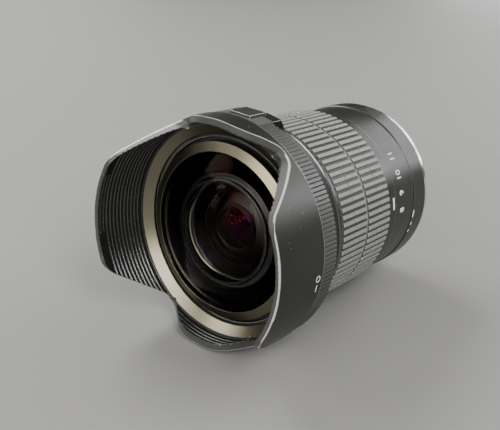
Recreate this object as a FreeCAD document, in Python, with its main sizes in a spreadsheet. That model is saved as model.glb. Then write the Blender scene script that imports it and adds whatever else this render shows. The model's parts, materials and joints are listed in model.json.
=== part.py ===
"""Wide-angle zoom lens with a petal hood, as separate pieces in millimetres.

Each piece is drawn in the lens's own frame: its Z is the optical axis, zero at the camera
mount's face and growing towards the front glass. LENS_AXIS then lays that axis along the
part's -Y, so that the lens points to -Y, +Z is up and the origin is the mount face's centre.
"""
import FreeCAD, Part
import math
import os
import Sketcher

os.makedirs("parts", exist_ok=True)
document = FreeCAD.newDocument("camera_lens")
Vector = FreeCAD.Vector

# Driving sizes: millimetres, degrees and counts
SIZES = {
    # camera mount
    "flange_radius": 33.3,
    "flange_thickness": 1.8,
    "register_inset": 6.3,
    "register_length": 1.2,
    "claw_inset": 0.1,
    "hub_inset": 1.7,
    "hub_length": 5.4,
    "throat_wall": 3.3,
    "claw_thickness": 2.0,
    "claw_angle": 52.0,
    "claw_count": 3,
    "mount_screw_inset": 3.5,
    "mount_screw_count": 4,
    "mount_screw_length": 4.4,
    "screw_radius": 0.8,
    "screw_head_radius": 1.5,
    "screw_head_depth": 0.9,
    "screw_clearance": 0.05,
    # electric contacts in the throat
    "contact_block_thickness": 4.1,
    "contact_block_length": 5.8,
    "contact_block_recess": 0.8,
    "contact_block_angle": 66.0,
    "contact_pin_radius": 0.75,
    "contact_pin_length": 0.5,
    "contact_pin_inset": 2.0,
    "contact_pin_pitch": 7.6,
    "contact_pin_count": 8,
    # fits
    "seat_clearance": 0.05,
    "slide_clearance": 0.1,
    "turning_gap": 0.3,
    "cutter_margin": 1.0,
    # outer barrel, from the mount forward
    "cover_length": 10.2,
    "barrel_step": 0.7,
    "cover_bevel": 0.9,
    "cover_front_bevel": 0.7,
    "shell_wall": 1.8,
    "scale_length": 14.0,
    "scale_inset": 0.3,
    "index_length": 5.7,
    "index_step": 0.2,
    "neck_wall": 0.8,
    "neck_length": 4.2,
    # turning rings and their rubber grips
    "ring_inset": 0.6,
    "ring_wall": 1.8,
    "lip_height": 1.2,
    "lip_length": 0.35,
    "web_length": 3.0,
    "zoom_grip_length": 15.0,
    "focus_grip_length": 15.5,
    "zoom_web_setback": 4.5,
    "focus_web_setback": 3.0,
    "rotor_web_setback": 8.4,
    "rotor_web_length": 1.4,
    "grip_base": 1.1,
    "grip_bar_height": 0.6,
    "grip_bar_width": 1.35,
    "grip_bar_count": 86,
    "grip_bar_gap": 0.5,
    "grip_margin": 0.3,
    "rotor_length": 2.5,
    "stator_wall": 2.5,
    # fixed tubes inside the barrel
    "guide_inset": 7.0,
    "guide_wall": 1.4,
    "guide_flange_length": 3.2,
    "cam_wall": 1.5,
    "cam_rear_setback": 4.0,
    "cam_front_setback": 1.5,
    "focus_cam_length": 16.5,
    "board_thickness": 1.2,
    "board_clearance": 0.8,
    # cams, rollers and the groups that they carry
    "roller_radius": 1.5,
    "roller_count": 3,
    "zoom_turn": 60.0,
    "zoom_travel": 10.0,
    "focus_turn": 90.0,
    "focus_travel": 4.0,
    "cam_overrun": 4.4,
    "zoom_roller_setback": 10.0,
    "focus_roller_setback": 10.3,
    "zoom_cell_length": 15.0,
    "focus_cell_length": 10.6,
    "zoom_glass_radius": 12.0,
    "focus_glass_radius": 13.0,
    "cell_wall": 2.2,
    # iris
    "iris_setback": 1.75,
    "iris_plate": 1.0,
    "iris_open_radius": 8.4,
    "iris_blade_count": 7,
    "iris_blade_thickness": 0.2,
    "iris_blade_pitch": 0.35,
    "iris_pivot_circle": 12.8,
    "iris_pin_radius": 0.5,
    "iris_pin_arm": 3.6,
    "iris_lug_radius": 1.2,
    "iris_blade_width": 2.8,
    "iris_blade_sweep": 96.0,
    "iris_blade_turn": 30.0,
    "iris_ring_turn": 20.0,
    "iris_ring_radius": 16.4,
    # front barrel and glass
    "collar_length": 3.4,
    "collar_step": 0.6,
    "front_barrel_wall": 0.8,
    "lug_height": 1.0,
    "lug_length": 0.9,
    "lug_angle": 90.0,
    "lug_direction": 78.0,
    "glass_seat_depth": 5.0,
    "cell_flange_setback": 7.5,
    "cell_flange_length": 2.0,
    "front_web_length": 3.5,
    "cell_rim_wall": 2.05,
    "front_glass_bevel_width": 0.65,
    "front_glass_bevel": 0.9,
    "front_glass_sag": 9.4,
    "glass_rim_depth": 0.85,
    "glass_spacing": 0.9,
    "front_hollow_inset": 10.05,
    "front_hollow_depth": 9.8,
    "bezel_gap": 1.5,
    "bezel_wall": 1.1,
    "bezel_slope": 1.2,
    "bezel_lip": 0.6,
    "bezel_lip_depth": 1.9,
    "second_glass_inset": 4.6,
    "second_glass_sag": 3.4,
    "second_hollow_inset": 6.5,
    "second_hollow_depth": 6.6,
    "second_edge_length": 5.3,
    "third_glass_radius": 14.0,
    "third_glass_sag": 2.6,
    "third_glass_length": 4.4,
    "rear_glass_radius": 14.0,
    "rear_glass_sag": 1.6,
    "rear_glass_length": 5.0,
    "rear_glass_setback": 1.8,
    "rear_cell_length": 9.0,
    "baffle_length": 1.0,
    "baffle_width": 30.0,
    "baffle_height": 22.0,
    "retainer_length": 1.2,
    "retainer_wall": 1.2,
    # petal hood
    "skirt_length": 9.0,
    "skirt_rear_inset": 4.5,
    "skirt_front_inset": 1.6,
    "skirt_wall": 1.6,
    "knurl_length": 8.0,
    "knurl_inset": 1.1,
    "knurl_height": 0.7,
    "knurl_count": 168,
    "glass_ahead_of_knurl": 3.0,
    "hood_flare": 7.3,
    "hood_wall": 2.0,
    "hood_taper": 0.9,
    "hood_rim_round": 0.6,
    "skirt_rear_round": 0.9,
    "long_petal_reach": 20.4,
    "short_petal_reach": 6.4,
    "valley_depth": 1.6,
    "long_petal_half_width": 20.9,
    "long_valley_half_width": 33.2,
    "short_petal_half_width": 8.6,
    "short_valley_half_width": 19.6,
    "long_petal_round": 7.5,
    "short_petal_round": 14.0,
    "valley_round": 4.4,
    "hood_phase": -3.1,
    "hood_turn": 60.0,
    "rib_count": 10,
    "rib_pitch": 1.6,
    "rib_groove_width": 0.6,
    "rib_depth": 0.4,
    "rim_band": 4.0,
    "catch_groove_width": 0.7,
    "catch_groove_depth": 0.5,
    "catch_groove_spacing": 1.4,
    "catch_groove_setback": 1.75,
    "catch_groove_angle": 33.0,
    "catch_groove_turn": 4.7,
    "bevel_inset": 3.7,
    "bevel_depth": 2.5,
    "band_edge": 0.4,
    "band_clearance": 0.2,
    "hood_flange_length": 2.4,
    "hood_notch_clearance": 4.0,
    # hood lock button
    "button_width": 8.7,
    "button_length": 8.5,
    "button_setback": 1.5,
    "button_rise": 0.7,
    "button_travel": 1.0,
    "button_depth": 4.2,
    "button_housing_angle": 26.0,
}

sheet = document.addObject("Spreadsheet::Sheet", "Sizes")
for row, (alias, number) in enumerate(SIZES.items(), start=1):
    sheet.set(f"A{row}", alias)
    sheet.set(f"B{row}", str(number))
    sheet.setAlias(f"B{row}", alias)
document.recompute()


class Size:
    """A size as the sheet's formula, which a sketch is bound to, with its present number."""

    def __init__(self, formula, number):
        self.formula = formula
        self.number = number

    def __add__(self, other):
        return combined(self, "+", other, self.number + size_of(other).number)

    def __sub__(self, other):
        return combined(self, "-", other, self.number - size_of(other).number)

    def __mul__(self, other):
        return combined(self, "*", other, self.number * size_of(other).number)

    def __truediv__(self, other):
        return combined(self, "/", other, self.number / size_of(other).number)

    def __neg__(self):
        return Size(f"(0 - {self.formula})", -self.number)


def size_of(thing):
    return thing if isinstance(thing, Size) else Size(str(thing), float(thing))


def combined(left, sign, right, number):
    return Size(f"({left.formula} {sign} {size_of(right).formula})", number)


def size(alias):
    return Size(f"Sizes.{alias}", float(sheet.get(alias)))


ZERO = Size("0", 0.0)
LENS_AXIS = FreeCAD.Placement(Vector(0, 0, 0), FreeCAD.Rotation(Vector(1, 0, 0), 90))
NODES = []


def turned_to(degrees):
    """The lens frame's placement with a piece first turned about the optical axis."""
    about_axis = FreeCAD.Placement(Vector(0, 0, 0), FreeCAD.Rotation(Vector(0, 0, 1), degrees))
    return LENS_AXIS.multiply(about_axis)


# Stations along the optical axis, each built on the one behind it
cover_rear = size("flange_thickness")
cover_front = cover_rear + size("cover_length")
scale_front = cover_front + size("scale_length")
index_front = scale_front + size("index_length")
zoom_rear = index_front + size("turning_gap")
zoom_front = zoom_rear + size("zoom_grip_length") + size("lip_length")
focus_rear = zoom_front + size("turning_gap")
focus_front = focus_rear + size("lip_length") + size("focus_grip_length")
collar_rear = focus_front + size("turning_gap")
collar_front = collar_rear + size("collar_length")
hood_rear = collar_front + size("turning_gap")
knurl_rear = hood_rear + size("skirt_length")
knurl_front = knurl_rear + size("knurl_length")
glass_plane = knurl_front + size("glass_ahead_of_knurl")
band_inner_edge = glass_plane - size("bevel_depth")
band_rear = band_inner_edge - size("band_edge")
front_rim = band_rear - size("turning_gap")
lug_rear = front_rim - size("lug_length")
hood_flange_front = lug_rear - size("turning_gap")
hood_flange_rear = hood_flange_front - size("hood_flange_length")
glass_seat = glass_plane - size("glass_seat_depth")
cell_seat = glass_plane - size("cell_flange_setback")
long_tip = glass_plane + size("long_petal_reach")
valley = glass_plane - size("valley_depth")

# Radii, each built on the one that it fits
register_radius = size("flange_radius") - size("register_inset")
claw_radius = register_radius - size("claw_inset")
hub_radius = register_radius - size("hub_inset")
throat_radius = hub_radius - size("throat_wall")
mount_screw_circle = size("flange_radius") - size("mount_screw_inset")
barrel_radius = size("flange_radius") + size("barrel_step")
cover_bore = barrel_radius - size("shell_wall")
scale_radius = barrel_radius - size("scale_inset")
scale_bore = scale_radius - size("shell_wall")
index_radius = barrel_radius + size("index_step")
collar_radius = barrel_radius + size("collar_step")
ring_radius = barrel_radius - size("ring_inset")
ring_bore = ring_radius - size("ring_wall")
lip_radius = ring_radius + size("lip_height")
neck_outer = ring_bore - size("slide_clearance")
neck_inner = neck_outer - size("neck_wall")
guide_bore = ring_bore - size("guide_inset")
guide_outer = guide_bore + size("guide_wall")
cell_outer = guide_bore - size("slide_clearance")
fixed_cell_outer = guide_bore - size("seat_clearance")
cam_inner = guide_outer + size("slide_clearance")
cam_outer = cam_inner + size("cam_wall")
rotor_outer = neck_inner - size("slide_clearance") * 2
rotor_inner = rotor_outer - size("stator_wall")
front_bore = barrel_radius - size("front_barrel_wall")
bezel_radius = front_bore - size("bezel_gap")
bezel_thread_radius = bezel_radius - size("bezel_wall")
front_glass_edge = bezel_thread_radius - size("cell_rim_wall")
front_glass_radius = front_glass_edge - size("front_glass_bevel_width")
second_glass_radius = guide_bore - size("second_glass_inset")
lug_radius = barrel_radius + size("lug_height")
hood_radius = barrel_radius + size("hood_flare")
hood_flange_bore = barrel_radius + size("turning_gap")
band_bore = barrel_radius + size("band_clearance")
lug_chamber = lug_radius + size("turning_gap")
skirt_rear_radius = hood_radius - size("skirt_rear_inset")
knurl_root = hood_radius - size("knurl_inset")

# Stations of the webs and rollers inside the turning rings
zoom_web_rear = zoom_rear + size("zoom_web_setback")
focus_web_rear = focus_rear + size("focus_web_setback")
rotor_web_rear = focus_rear + size("rotor_web_setback")
rotor_rear = rotor_web_rear + size("rotor_web_length")
zoom_roller = zoom_rear - size("zoom_roller_setback")
focus_roller = focus_rear + size("focus_roller_setback")


def origin_item(body, role):
    return next(item for item in body.Origin.OriginFeatures if item.Role == role)


def new_body(label, placement=LENS_AXIS):
    """An empty body that becomes the node of that name."""
    body = document.addObject("PartDesign::Body", label)
    body.Label = label
    body.AllowCompound = True
    body.Placement = placement
    NODES.append(body)
    return body


def fix_distance(sketch, kind, edge, end, distance):
    """Bind one distance of a point from the sketch's origin, or put it on that axis."""
    if distance.formula == "0":
        own_axis = -2 if kind == "DistanceX" else -1
        sketch.addConstraint(Sketcher.Constraint("PointOnObject", edge, end, own_axis))
        return
    place = Sketcher.Constraint(kind, -1, 1, edge, end, distance.number)
    index = sketch.addConstraint(place)
    sketch.setExpression(f"Constraints[{index}]", distance.formula)


def pin_point(sketch, edge, end, across, along):
    """Fix one end of an edge at its distances from the sketch's origin."""
    fix_distance(sketch, "DistanceX", edge, end, across)
    fix_distance(sketch, "DistanceY", edge, end, along)


def arc_between(start, end, centre):
    """The short arc from start to end, and whether it runs counter-clockwise."""
    radius = (start - centre).Length
    first = math.atan2(start.y - centre.y, start.x - centre.x)
    last = math.atan2(end.y - centre.y, end.x - centre.x)
    forward = (last - first) % (2 * math.pi) <= math.pi + 1e-9
    if not forward:
        first, last = last, first
    circle = Part.Circle(centre, Vector(0, 0, 1), radius)
    return Part.ArcOfCircle(circle, first, last), forward


def outline(body, name, plane, corners, arcs=None, lift=None, axis=None):
    """A closed outline on one of the body's own planes.

    Each corner is its two sizes from the origin. arcs names the edges that are arcs, by the
    corner that they leave, with their centre's sizes, or None where it lies on the optical
    axis. lift moves the plane along its normal. axis is a pair of corners of a turning axis.
    """
    sketch = body.newObject("Sketcher::SketchObject", name)
    sketch.AttachmentSupport = [(origin_item(body, plane), "")]
    sketch.MapMode = "FlatFace"
    corners = [(size_of(across), size_of(along)) for across, along in corners]
    points = [Vector(across.number, along.number, 0) for across, along in corners]
    arcs = arcs or {}
    ends = []
    for index, start in enumerate(points):
        end = points[(index + 1) % len(points)]
        if index not in arcs:
            sketch.addGeometry(Part.LineSegment(start, end), False)
            ends.append((1, 2))
            continue
        if arcs[index] is None:
            along = (end.y ** 2 - start.y ** 2 + end.x ** 2 - start.x ** 2) / (2 * (end.y - start.y))
            centre = Vector(0, along, 0)
        else:
            centre = Vector(*(size_of(item).number for item in arcs[index]), 0)
        arc, forward = arc_between(start, end, centre)
        sketch.addGeometry(arc, False)
        ends.append((1, 2) if forward else (2, 1))
    for index in range(len(points)):
        following = (index + 1) % len(points)
        joint = ("Coincident", index, ends[index][1], following, ends[following][0])
        sketch.addConstraint(Sketcher.Constraint(*joint))
    for index, (across, along) in enumerate(corners):
        pin_point(sketch, index, ends[index][0], across, along)
    for index, centre in arcs.items():
        if centre is None:
            sketch.addConstraint(Sketcher.Constraint("PointOnObject", index, 3, -2))
            continue
        start = corners[index]
        end = corners[(index + 1) % len(corners)]
        if abs(start[0].number - end[0].number) < 1e-9:
            fix_distance(sketch, "DistanceX", index, 3, size_of(centre[0]))
        else:
            fix_distance(sketch, "DistanceY", index, 3, size_of(centre[1]))
    if axis is not None:
        axis = [(size_of(across), size_of(along)) for across, along in axis]
        line = Part.LineSegment(*(Vector(a.number, b.number, 0) for a, b in axis))
        edge = sketch.addGeometry(line, True)
        for end, (across, along) in enumerate(axis, start=1):
            pin_point(sketch, edge, end, across, along)
    if lift is not None:
        lift = size_of(lift)
        sketch.AttachmentOffset = FreeCAD.Placement(Vector(0, 0, lift.number), FreeCAD.Rotation())
        sketch.setExpression(".AttachmentOffset.Base.z", lift.formula)
    return sketch


def turn(body, name, sketch, angle=None, axis="V_Axis", cut=False):
    """Turn an outline about the optical axis, or about the sketch's own axis."""
    feature = body.newObject("PartDesign::Groove" if cut else "PartDesign::Revolution", name)
    feature.Profile = sketch
    feature.ReferenceAxis = (sketch, [axis])
    feature.Angle = 360
    if angle is not None:
        feature.Midplane = True
        feature.Angle = angle.number
        feature.setExpression("Angle", angle.formula)
    return feature


def extrude(body, name, sketch, length, reverse=False, both_ways=False, cut=False):
    feature = body.newObject("PartDesign::Pocket" if cut else "PartDesign::Pad", name)
    feature.Profile = sketch
    length = size_of(length)
    feature.Length = length.number
    feature.setExpression("Length", length.formula)
    feature.Reversed = reverse
    feature.Midplane = both_ways
    return feature


def repeat(body, name, features, count):
    """Repeat one feature, or a list of them, evenly about the optical axis."""
    pattern = body.newObject("PartDesign::PolarPattern", name)
    pattern.Originals = features if isinstance(features, list) else [features]
    pattern.Axis = (origin_item(body, "Z_Axis"), [""])
    pattern.Angle = 360
    pattern.Occurrences = int(count.number)
    pattern.setExpression("Occurrences", count.formula)
    body.Tip = pattern
    return pattern


def turned_piece(label, corners, arcs=None):
    """A piece turned from one outline, each corner a radius and a station."""
    body = new_body(label)
    turn(body, f"{label}_turning", outline(body, f"{label}_outline", "XZ_Plane", corners, arcs))
    return body


def ring(label, inner, outer, rear, front):
    corners = [(inner, rear), (outer, rear), (outer, front), (inner, front)]
    return turned_piece(label, corners)


def axial_hole(body, name, circle, radius, rear, front, count):
    """Holes along the optical axis on a bolt circle."""
    circle = size_of(circle)
    corners = [(circle, rear), (circle + radius, rear), (circle + radius, front), (circle, front)]
    axis = [(circle, rear), (circle, front)]
    sketch = outline(body, f"{name}_outline", "XZ_Plane", corners, axis=axis)
    return repeat(body, name, turn(body, f"{name}_first", sketch, axis="Axis0", cut=True), count)


def radial_hole(body, name, station, radius, inner, outer, count):
    """Holes pointing at the optical axis, evenly round it."""
    corners = [(inner, station), (outer, station), (outer, station + radius), (inner, station + radius)]
    axis = [(inner, station), (outer, station)]
    sketch = outline(body, f"{name}_outline", "YZ_Plane", corners, axis=axis)
    return repeat(body, name, turn(body, f"{name}_first", sketch, axis="Axis0", cut=True), count)


def shaped_piece(label, shape, placement=LENS_AXIS):
    """A piece whose curved or many small faces are built as a shape."""
    feature = document.addObject("Part::Feature", label)
    feature.Label = label
    feature.Shape = shape
    feature.Placement = placement.multiply(shape.Placement)
    NODES.append(feature)
    return feature


# Camera mount
def bayonet_mount():
    """Metal plate with the throat's hub, a register and three claws behind it."""
    hub_rear = -size("hub_length")
    body = new_body("bayonet_mount")
    corners = [
        (throat_radius, hub_rear),
        (hub_radius, hub_rear),
        (hub_radius, -size("register_length")),
        (register_radius, -size("register_length")),
        (register_radius, ZERO),
        (size("flange_radius"), ZERO),
        (size("flange_radius"), size("flange_thickness")),
        (throat_radius, size("flange_thickness")),
    ]
    turn(body, "mount_plate", outline(body, "mount_outline", "XZ_Plane", corners))
    claw_front = hub_rear + size("claw_thickness")
    claw_root = hub_radius - size("shell_wall")
    corners = [
        (claw_root, hub_rear),
        (claw_radius, hub_rear),
        (claw_radius, claw_front),
        (claw_root, claw_front),
    ]
    sketch = outline(body, "claw_outline", "XZ_Plane", corners)
    repeat(body, "claws", turn(body, "claw", sketch, size("claw_angle")), size("claw_count"))
    clearance = size("screw_clearance")
    circle = mount_screw_circle
    hole = size("screw_radius") + clearance
    sink = size("screw_head_radius") + clearance
    sink_front = size("screw_head_depth") + clearance
    corners = [
        (circle, ZERO),
        (circle + sink, ZERO),
        (circle + sink, sink_front),
        (circle + hole, sink_front),
        (circle + hole, size("flange_thickness")),
        (circle, size("flange_thickness")),
    ]
    axis = [(circle, ZERO), (circle, size("flange_thickness"))]
    sketch = outline(body, "sunk_hole_outline", "XZ_Plane", corners, axis=axis)
    hole = turn(body, "sunk_hole", sketch, axis="Axis0", cut=True)
    repeat(body, "sunk_holes", hole, size("mount_screw_count"))


def mount_screws():
    """Screws that hold the mount plate to the guide tube's flange."""
    body = new_body("mount_screws")
    circle = mount_screw_circle
    corners = [
        (circle, ZERO),
        (circle + size("screw_head_radius"), ZERO),
        (circle + size("screw_head_radius"), size("screw_head_depth")),
        (circle + size("screw_radius"), size("screw_head_depth")),
        (circle + size("screw_radius"), size("mount_screw_length")),
        (circle, size("mount_screw_length")),
    ]
    axis = [(circle, ZERO), (circle, size("mount_screw_length"))]
    sketch = outline(body, "mount_screw_outline", "XZ_Plane", corners, axis=axis)
    first = turn(body, "mount_screw", sketch, axis="Axis0")
    repeat(body, "mount_screw_set", first, size("mount_screw_count"))


def contact_block():
    """Plastic arc in the throat that carries the electric contacts, at the bottom."""
    body = new_body("contact_block", turned_to(-90))
    rear = size("contact_block_recess") - size("hub_length")
    front = rear + size("contact_block_length")
    inner = throat_radius - size("contact_block_thickness")
    outer = throat_radius - size("seat_clearance")
    corners = [(inner, rear), (outer, rear), (outer, front), (inner, front)]
    sketch = outline(body, "contact_block_outline", "XZ_Plane", corners)
    turn(body, "contact_block_turning", sketch, size("contact_block_angle"))


def contact_pins():
    """Gold contacts in a row along the block's rear face."""
    count = int(size("contact_pin_count").number)
    pitch = size("contact_pin_pitch").number
    length = size("contact_pin_length").number
    rear = size("contact_block_recess").number - size("hub_length").number - length
    circle = (throat_radius - size("contact_pin_inset")).number
    pin = Part.makeCylinder(size("contact_pin_radius").number, length)
    pins = []
    for index in range(count):
        angle = math.radians(-90 + pitch * (index - (count - 1) / 2))
        place = Vector(math.cos(angle), math.sin(angle), 0) * circle
        pins.append(pin.translated(place + Vector(0, 0, rear)))
    shaped_piece("contact_pins", Part.makeCompound(pins))


# Outer barrel and the tubes inside it
def rear_cover():
    outer = barrel_radius
    bevel = size("cover_bevel")
    front_bevel = size("cover_front_bevel")
    corners = [
        (cover_bore, cover_rear),
        (outer - bevel, cover_rear),
        (outer, cover_rear + bevel),
        (outer, cover_front - front_bevel),
        (outer - front_bevel, cover_front),
        (cover_bore, cover_front),
    ]
    turned_piece("rear_cover", corners)


def index_ring():
    """Dark ring with the index mark; its neck carries the zoom ring."""
    neck_front = zoom_rear + size("neck_length")
    neck_rear = scale_front + size("shell_wall")
    corners = [
        (scale_bore, scale_front),
        (scale_radius, scale_front),
        (index_radius, scale_front + size("turning_gap")),
        (index_radius, index_front),
        (neck_outer, index_front),
        (neck_outer, neck_front),
        (neck_inner, neck_front),
        (neck_inner, neck_rear),
        (scale_bore, neck_rear),
    ]
    turned_piece("index_ring", corners)


def straight_slot(body, name, station, travel):
    """Slots along the guide tube for one group's rollers, with round ends."""
    half = size("roller_radius") + size("slide_clearance") / 2
    low = station
    high = station + travel
    corners = [(half, low), (half, high), (-half, high), (-half, low)]
    arcs = {1: (ZERO, high), 3: (ZERO, low)}
    inside = guide_bore - size("guide_wall")
    sketch = outline(body, f"{name}_outline", "XZ_Plane", corners, arcs, lift=-inside)
    pocket = extrude(body, f"{name}_first", sketch, size("guide_wall") * 4, reverse=False, cut=True)
    return repeat(body, name, pocket, size("roller_count"))


def guide_tube():
    """Fixed inner tube with straight slots, bolted to the mount plate by its flange."""
    flange_outer = cover_bore - size("seat_clearance")
    flange_front = cover_rear + size("guide_flange_length")
    body = new_body("guide_tube")
    corners = [
        (guide_bore, cover_rear),
        (flange_outer, cover_rear),
        (flange_outer, flange_front),
        (guide_outer, flange_front),
        (guide_outer, cell_seat),
        (guide_bore, cell_seat),
    ]
    turn(body, "guide_tube_turning", outline(body, "guide_tube_outline", "XZ_Plane", corners))
    straight_slot(body, "zoom_slots", zoom_roller, size("zoom_travel"))
    straight_slot(body, "focus_slots", focus_roller, size("focus_travel"))
    hole = size("screw_radius") + size("screw_clearance")
    circle = mount_screw_circle
    axial_hole(body, "flange_holes", circle, hole, cover_rear, flange_front, size("mount_screw_count"))


def main_board():
    rear = cover_rear + size("guide_flange_length")
    front = rear + size("board_thickness")
    clearance = size("board_clearance")
    ring("main_board", guide_outer + clearance, cover_bore - clearance, rear, front)


def middle_ring():
    """Fixed sleeve between the two turning rings; both run on it."""
    rear = zoom_front - size("cam_front_setback") + size("turning_gap")
    front = focus_rear + size("cam_front_setback") - size("turning_gap")
    ring("middle_ring", guide_outer, neck_outer, rear, front)


def front_barrel():
    """Fixed barrel under the hood, with the collar behind it and the bayonet lugs in front."""
    body = new_body("front_barrel")
    outer = barrel_radius
    stator_seat = collar_front - size("stator_wall") / 2
    rear_web_front = stator_seat + size("stator_wall")
    chamber = outer - size("shell_wall")
    front_web_rear = cell_seat - size("front_web_length")
    corners = [
        (neck_inner, collar_rear - size("neck_length") + size("turning_gap")),
        (neck_outer, collar_rear - size("neck_length") + size("turning_gap")),
        (neck_outer, collar_rear),
        (collar_radius, collar_rear),
        (collar_radius, collar_front),
        (outer, collar_front),
        (outer, front_rim),
        (front_bore, front_rim),
        (front_bore, cell_seat),
        (guide_outer, cell_seat),
        (guide_outer, front_web_rear),
        (chamber, front_web_rear),
        (chamber, rear_web_front),
        (guide_outer, rear_web_front),
        (guide_outer, stator_seat),
        (neck_inner, stator_seat),
    ]
    turn(body, "front_barrel_turning", outline(body, "front_barrel_outline", "XZ_Plane", corners))
    middle = (front_bore + outer) / 2
    corners = [(middle, lug_rear), (lug_radius, lug_rear), (lug_radius, front_rim), (middle, front_rim)]
    sketch = outline(body, "lug_outline", "XZ_Plane", corners)
    repeat(body, "bayonet_lugs", turn(body, "bayonet_lug", sketch, size("lug_angle")), Size("2", 2))
    body.Placement = turned_to(size("lug_direction").number)


# Turning rings with their grips and cams
def grip(label, rear, front):
    """Rubber sleeve with two columns of raised bars, in line with each other."""
    body = new_body(label)
    inner = ring_radius
    base = inner + size("grip_base")
    sleeve = [(inner, rear), (base, rear), (base, front), (inner, front)]
    turn(body, f"{label}_sleeve", outline(body, f"{label}_sleeve_outline", "XZ_Plane", sleeve))
    half = size("grip_bar_width") / 2
    half_gap = size("grip_bar_gap") / 2
    middle = (rear + front) / 2
    bottom = base - size("grip_base") / 2
    height = size("grip_base") / 2 + size("grip_bar_height")
    columns = {
        "rear_bars": (rear + size("grip_margin"), middle - half_gap),
        "front_bars": (middle + half_gap, front - size("grip_margin")),
    }
    for name, (low, high) in columns.items():
        corners = [(-half, low), (half, low), (half, high), (-half, high)]
        sketch = outline(body, f"{label}_{name}_outline", "XZ_Plane", corners, lift=-bottom)
        bar = extrude(body, f"{label}_{name}_first", sketch, height, reverse=True)
        repeat(body, f"{label}_{name}", bar, size("grip_bar_count"))


def turn_outline(sketch, angle):
    """Turn a sketch's plane about the optical axis by that angle."""
    turned = FreeCAD.Rotation(Vector(0, 1, 0), angle.number)
    sketch.AttachmentOffset = FreeCAD.Placement(Vector(0, 0, 0), turned)
    sketch.setExpression(".AttachmentOffset.Rotation.Angle", angle.formula)


def cam_tube(label, rear, front, station, travel, turn_angle):
    """Turning tube whose helical slots push one group's rollers along."""
    body = new_body(label)
    corners = [(cam_inner, rear), (cam_outer, rear), (cam_outer, front), (cam_inner, front)]
    turn(body, f"{label}_turning", outline(body, f"{label}_outline", "XZ_Plane", corners))
    rise = travel / turn_angle
    steepness = math.hypot(1, math.degrees(rise.number) / cam_inner.number)
    half = (size("roller_radius") + size("slide_clearance")) * steepness
    overrun = size("cam_overrun")
    low = station - rise * overrun
    inside = cam_inner - size("cam_wall")
    outside = cam_outer + size("cam_wall")
    corners = [
        (inside, low - half),
        (outside, low - half),
        (outside, low + half),
        (inside, low + half),
    ]
    sketch = outline(body, f"{label}_slot_outline", "YZ_Plane", corners)
    turn_outline(sketch, overrun)
    slot = body.newObject("PartDesign::SubtractiveHelix", f"{label}_slot")
    slot.Profile = sketch
    slot.ReferenceAxis = (sketch, ["V_Axis"])
    slot.Mode = "pitch-height-angle"
    pitch = rise * 360
    slot.Pitch = pitch.number
    slot.setExpression("Pitch", pitch.formula)
    height = travel + rise * overrun * 2
    slot.Height = height.number
    slot.setExpression("Height", height.formula)
    slot.LeftHanded = True
    repeat(body, f"{label}_slots", slot, size("roller_count"))
    return body


def zoom_parts():
    """Rear ring, its grip and the cam tube that it turns."""
    inner = cam_outer + size("seat_clearance")
    outer = ring_radius
    grip_front = zoom_front - size("lip_length")
    web_front = zoom_web_rear + size("web_length")
    corners = [
        (ring_bore, zoom_rear),
        (outer, zoom_rear),
        (outer, grip_front),
        (lip_radius, grip_front),
        (lip_radius, zoom_front),
        (ring_bore, zoom_front),
        (ring_bore, web_front),
        (inner, web_front),
        (inner, zoom_web_rear),
        (ring_bore, zoom_web_rear),
    ]
    body = turned_piece("zoom_ring", corners)
    screw_station = zoom_web_rear + size("web_length") / 2
    screw_holes(body, "zoom_ring", screw_station)
    grip("zoom_grip", zoom_rear, grip_front)
    rear = cover_front + size("cam_rear_setback")
    front = zoom_front - size("cam_front_setback")
    travel = size("zoom_travel")
    body = cam_tube("zoom_cam_tube", rear, front, zoom_roller, travel, size("zoom_turn"))
    hole = size("screw_radius") + size("screw_clearance")
    reach = cam_outer + size("cutter_margin")
    radial_hole(body, "zoom_cam_holes", screw_station, hole, guide_outer, reach, size("roller_count"))
    ring_screws("zoom_ring_screws", screw_station)


def screw_holes(body, label, station):
    """Stepped holes for the three screws that join a ring's web to its cam tube."""
    clearance = size("screw_clearance")
    inner = cam_outer
    head_floor = ring_radius - size("screw_head_depth") - clearance * 2
    outside = ring_radius + clearance
    shank = size("screw_radius") + clearance
    head = size("screw_head_radius") + clearance
    corners = [
        (inner, station),
        (outside, station),
        (outside, station + head),
        (head_floor, station + head),
        (head_floor, station + shank),
        (inner, station + shank),
    ]
    axis = [(inner, station), (outside, station)]
    sketch = outline(body, f"{label}_screw_hole_outline", "YZ_Plane", corners, axis=axis)
    first = turn(body, f"{label}_screw_hole", sketch, axis="Axis0", cut=True)
    repeat(body, f"{label}_screw_holes", first, size("roller_count"))


def ring_screws(label, station):
    body = new_body(label)
    clearance = size("screw_clearance")
    inner = cam_inner + clearance
    top = ring_radius - clearance
    head_floor = top - size("screw_head_depth")
    shank = size("screw_radius")
    head = size("screw_head_radius")
    corners = [
        (inner, station),
        (top, station),
        (top, station + head),
        (head_floor, station + head),
        (head_floor, station + shank),
        (inner, station + shank),
    ]
    axis = [(inner, station), (top, station)]
    sketch = outline(body, f"{label}_outline", "YZ_Plane", corners, axis=axis)
    repeat(body, f"{label}_set", turn(body, f"{label}_first", sketch, axis="Axis0"), size("roller_count"))


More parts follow.
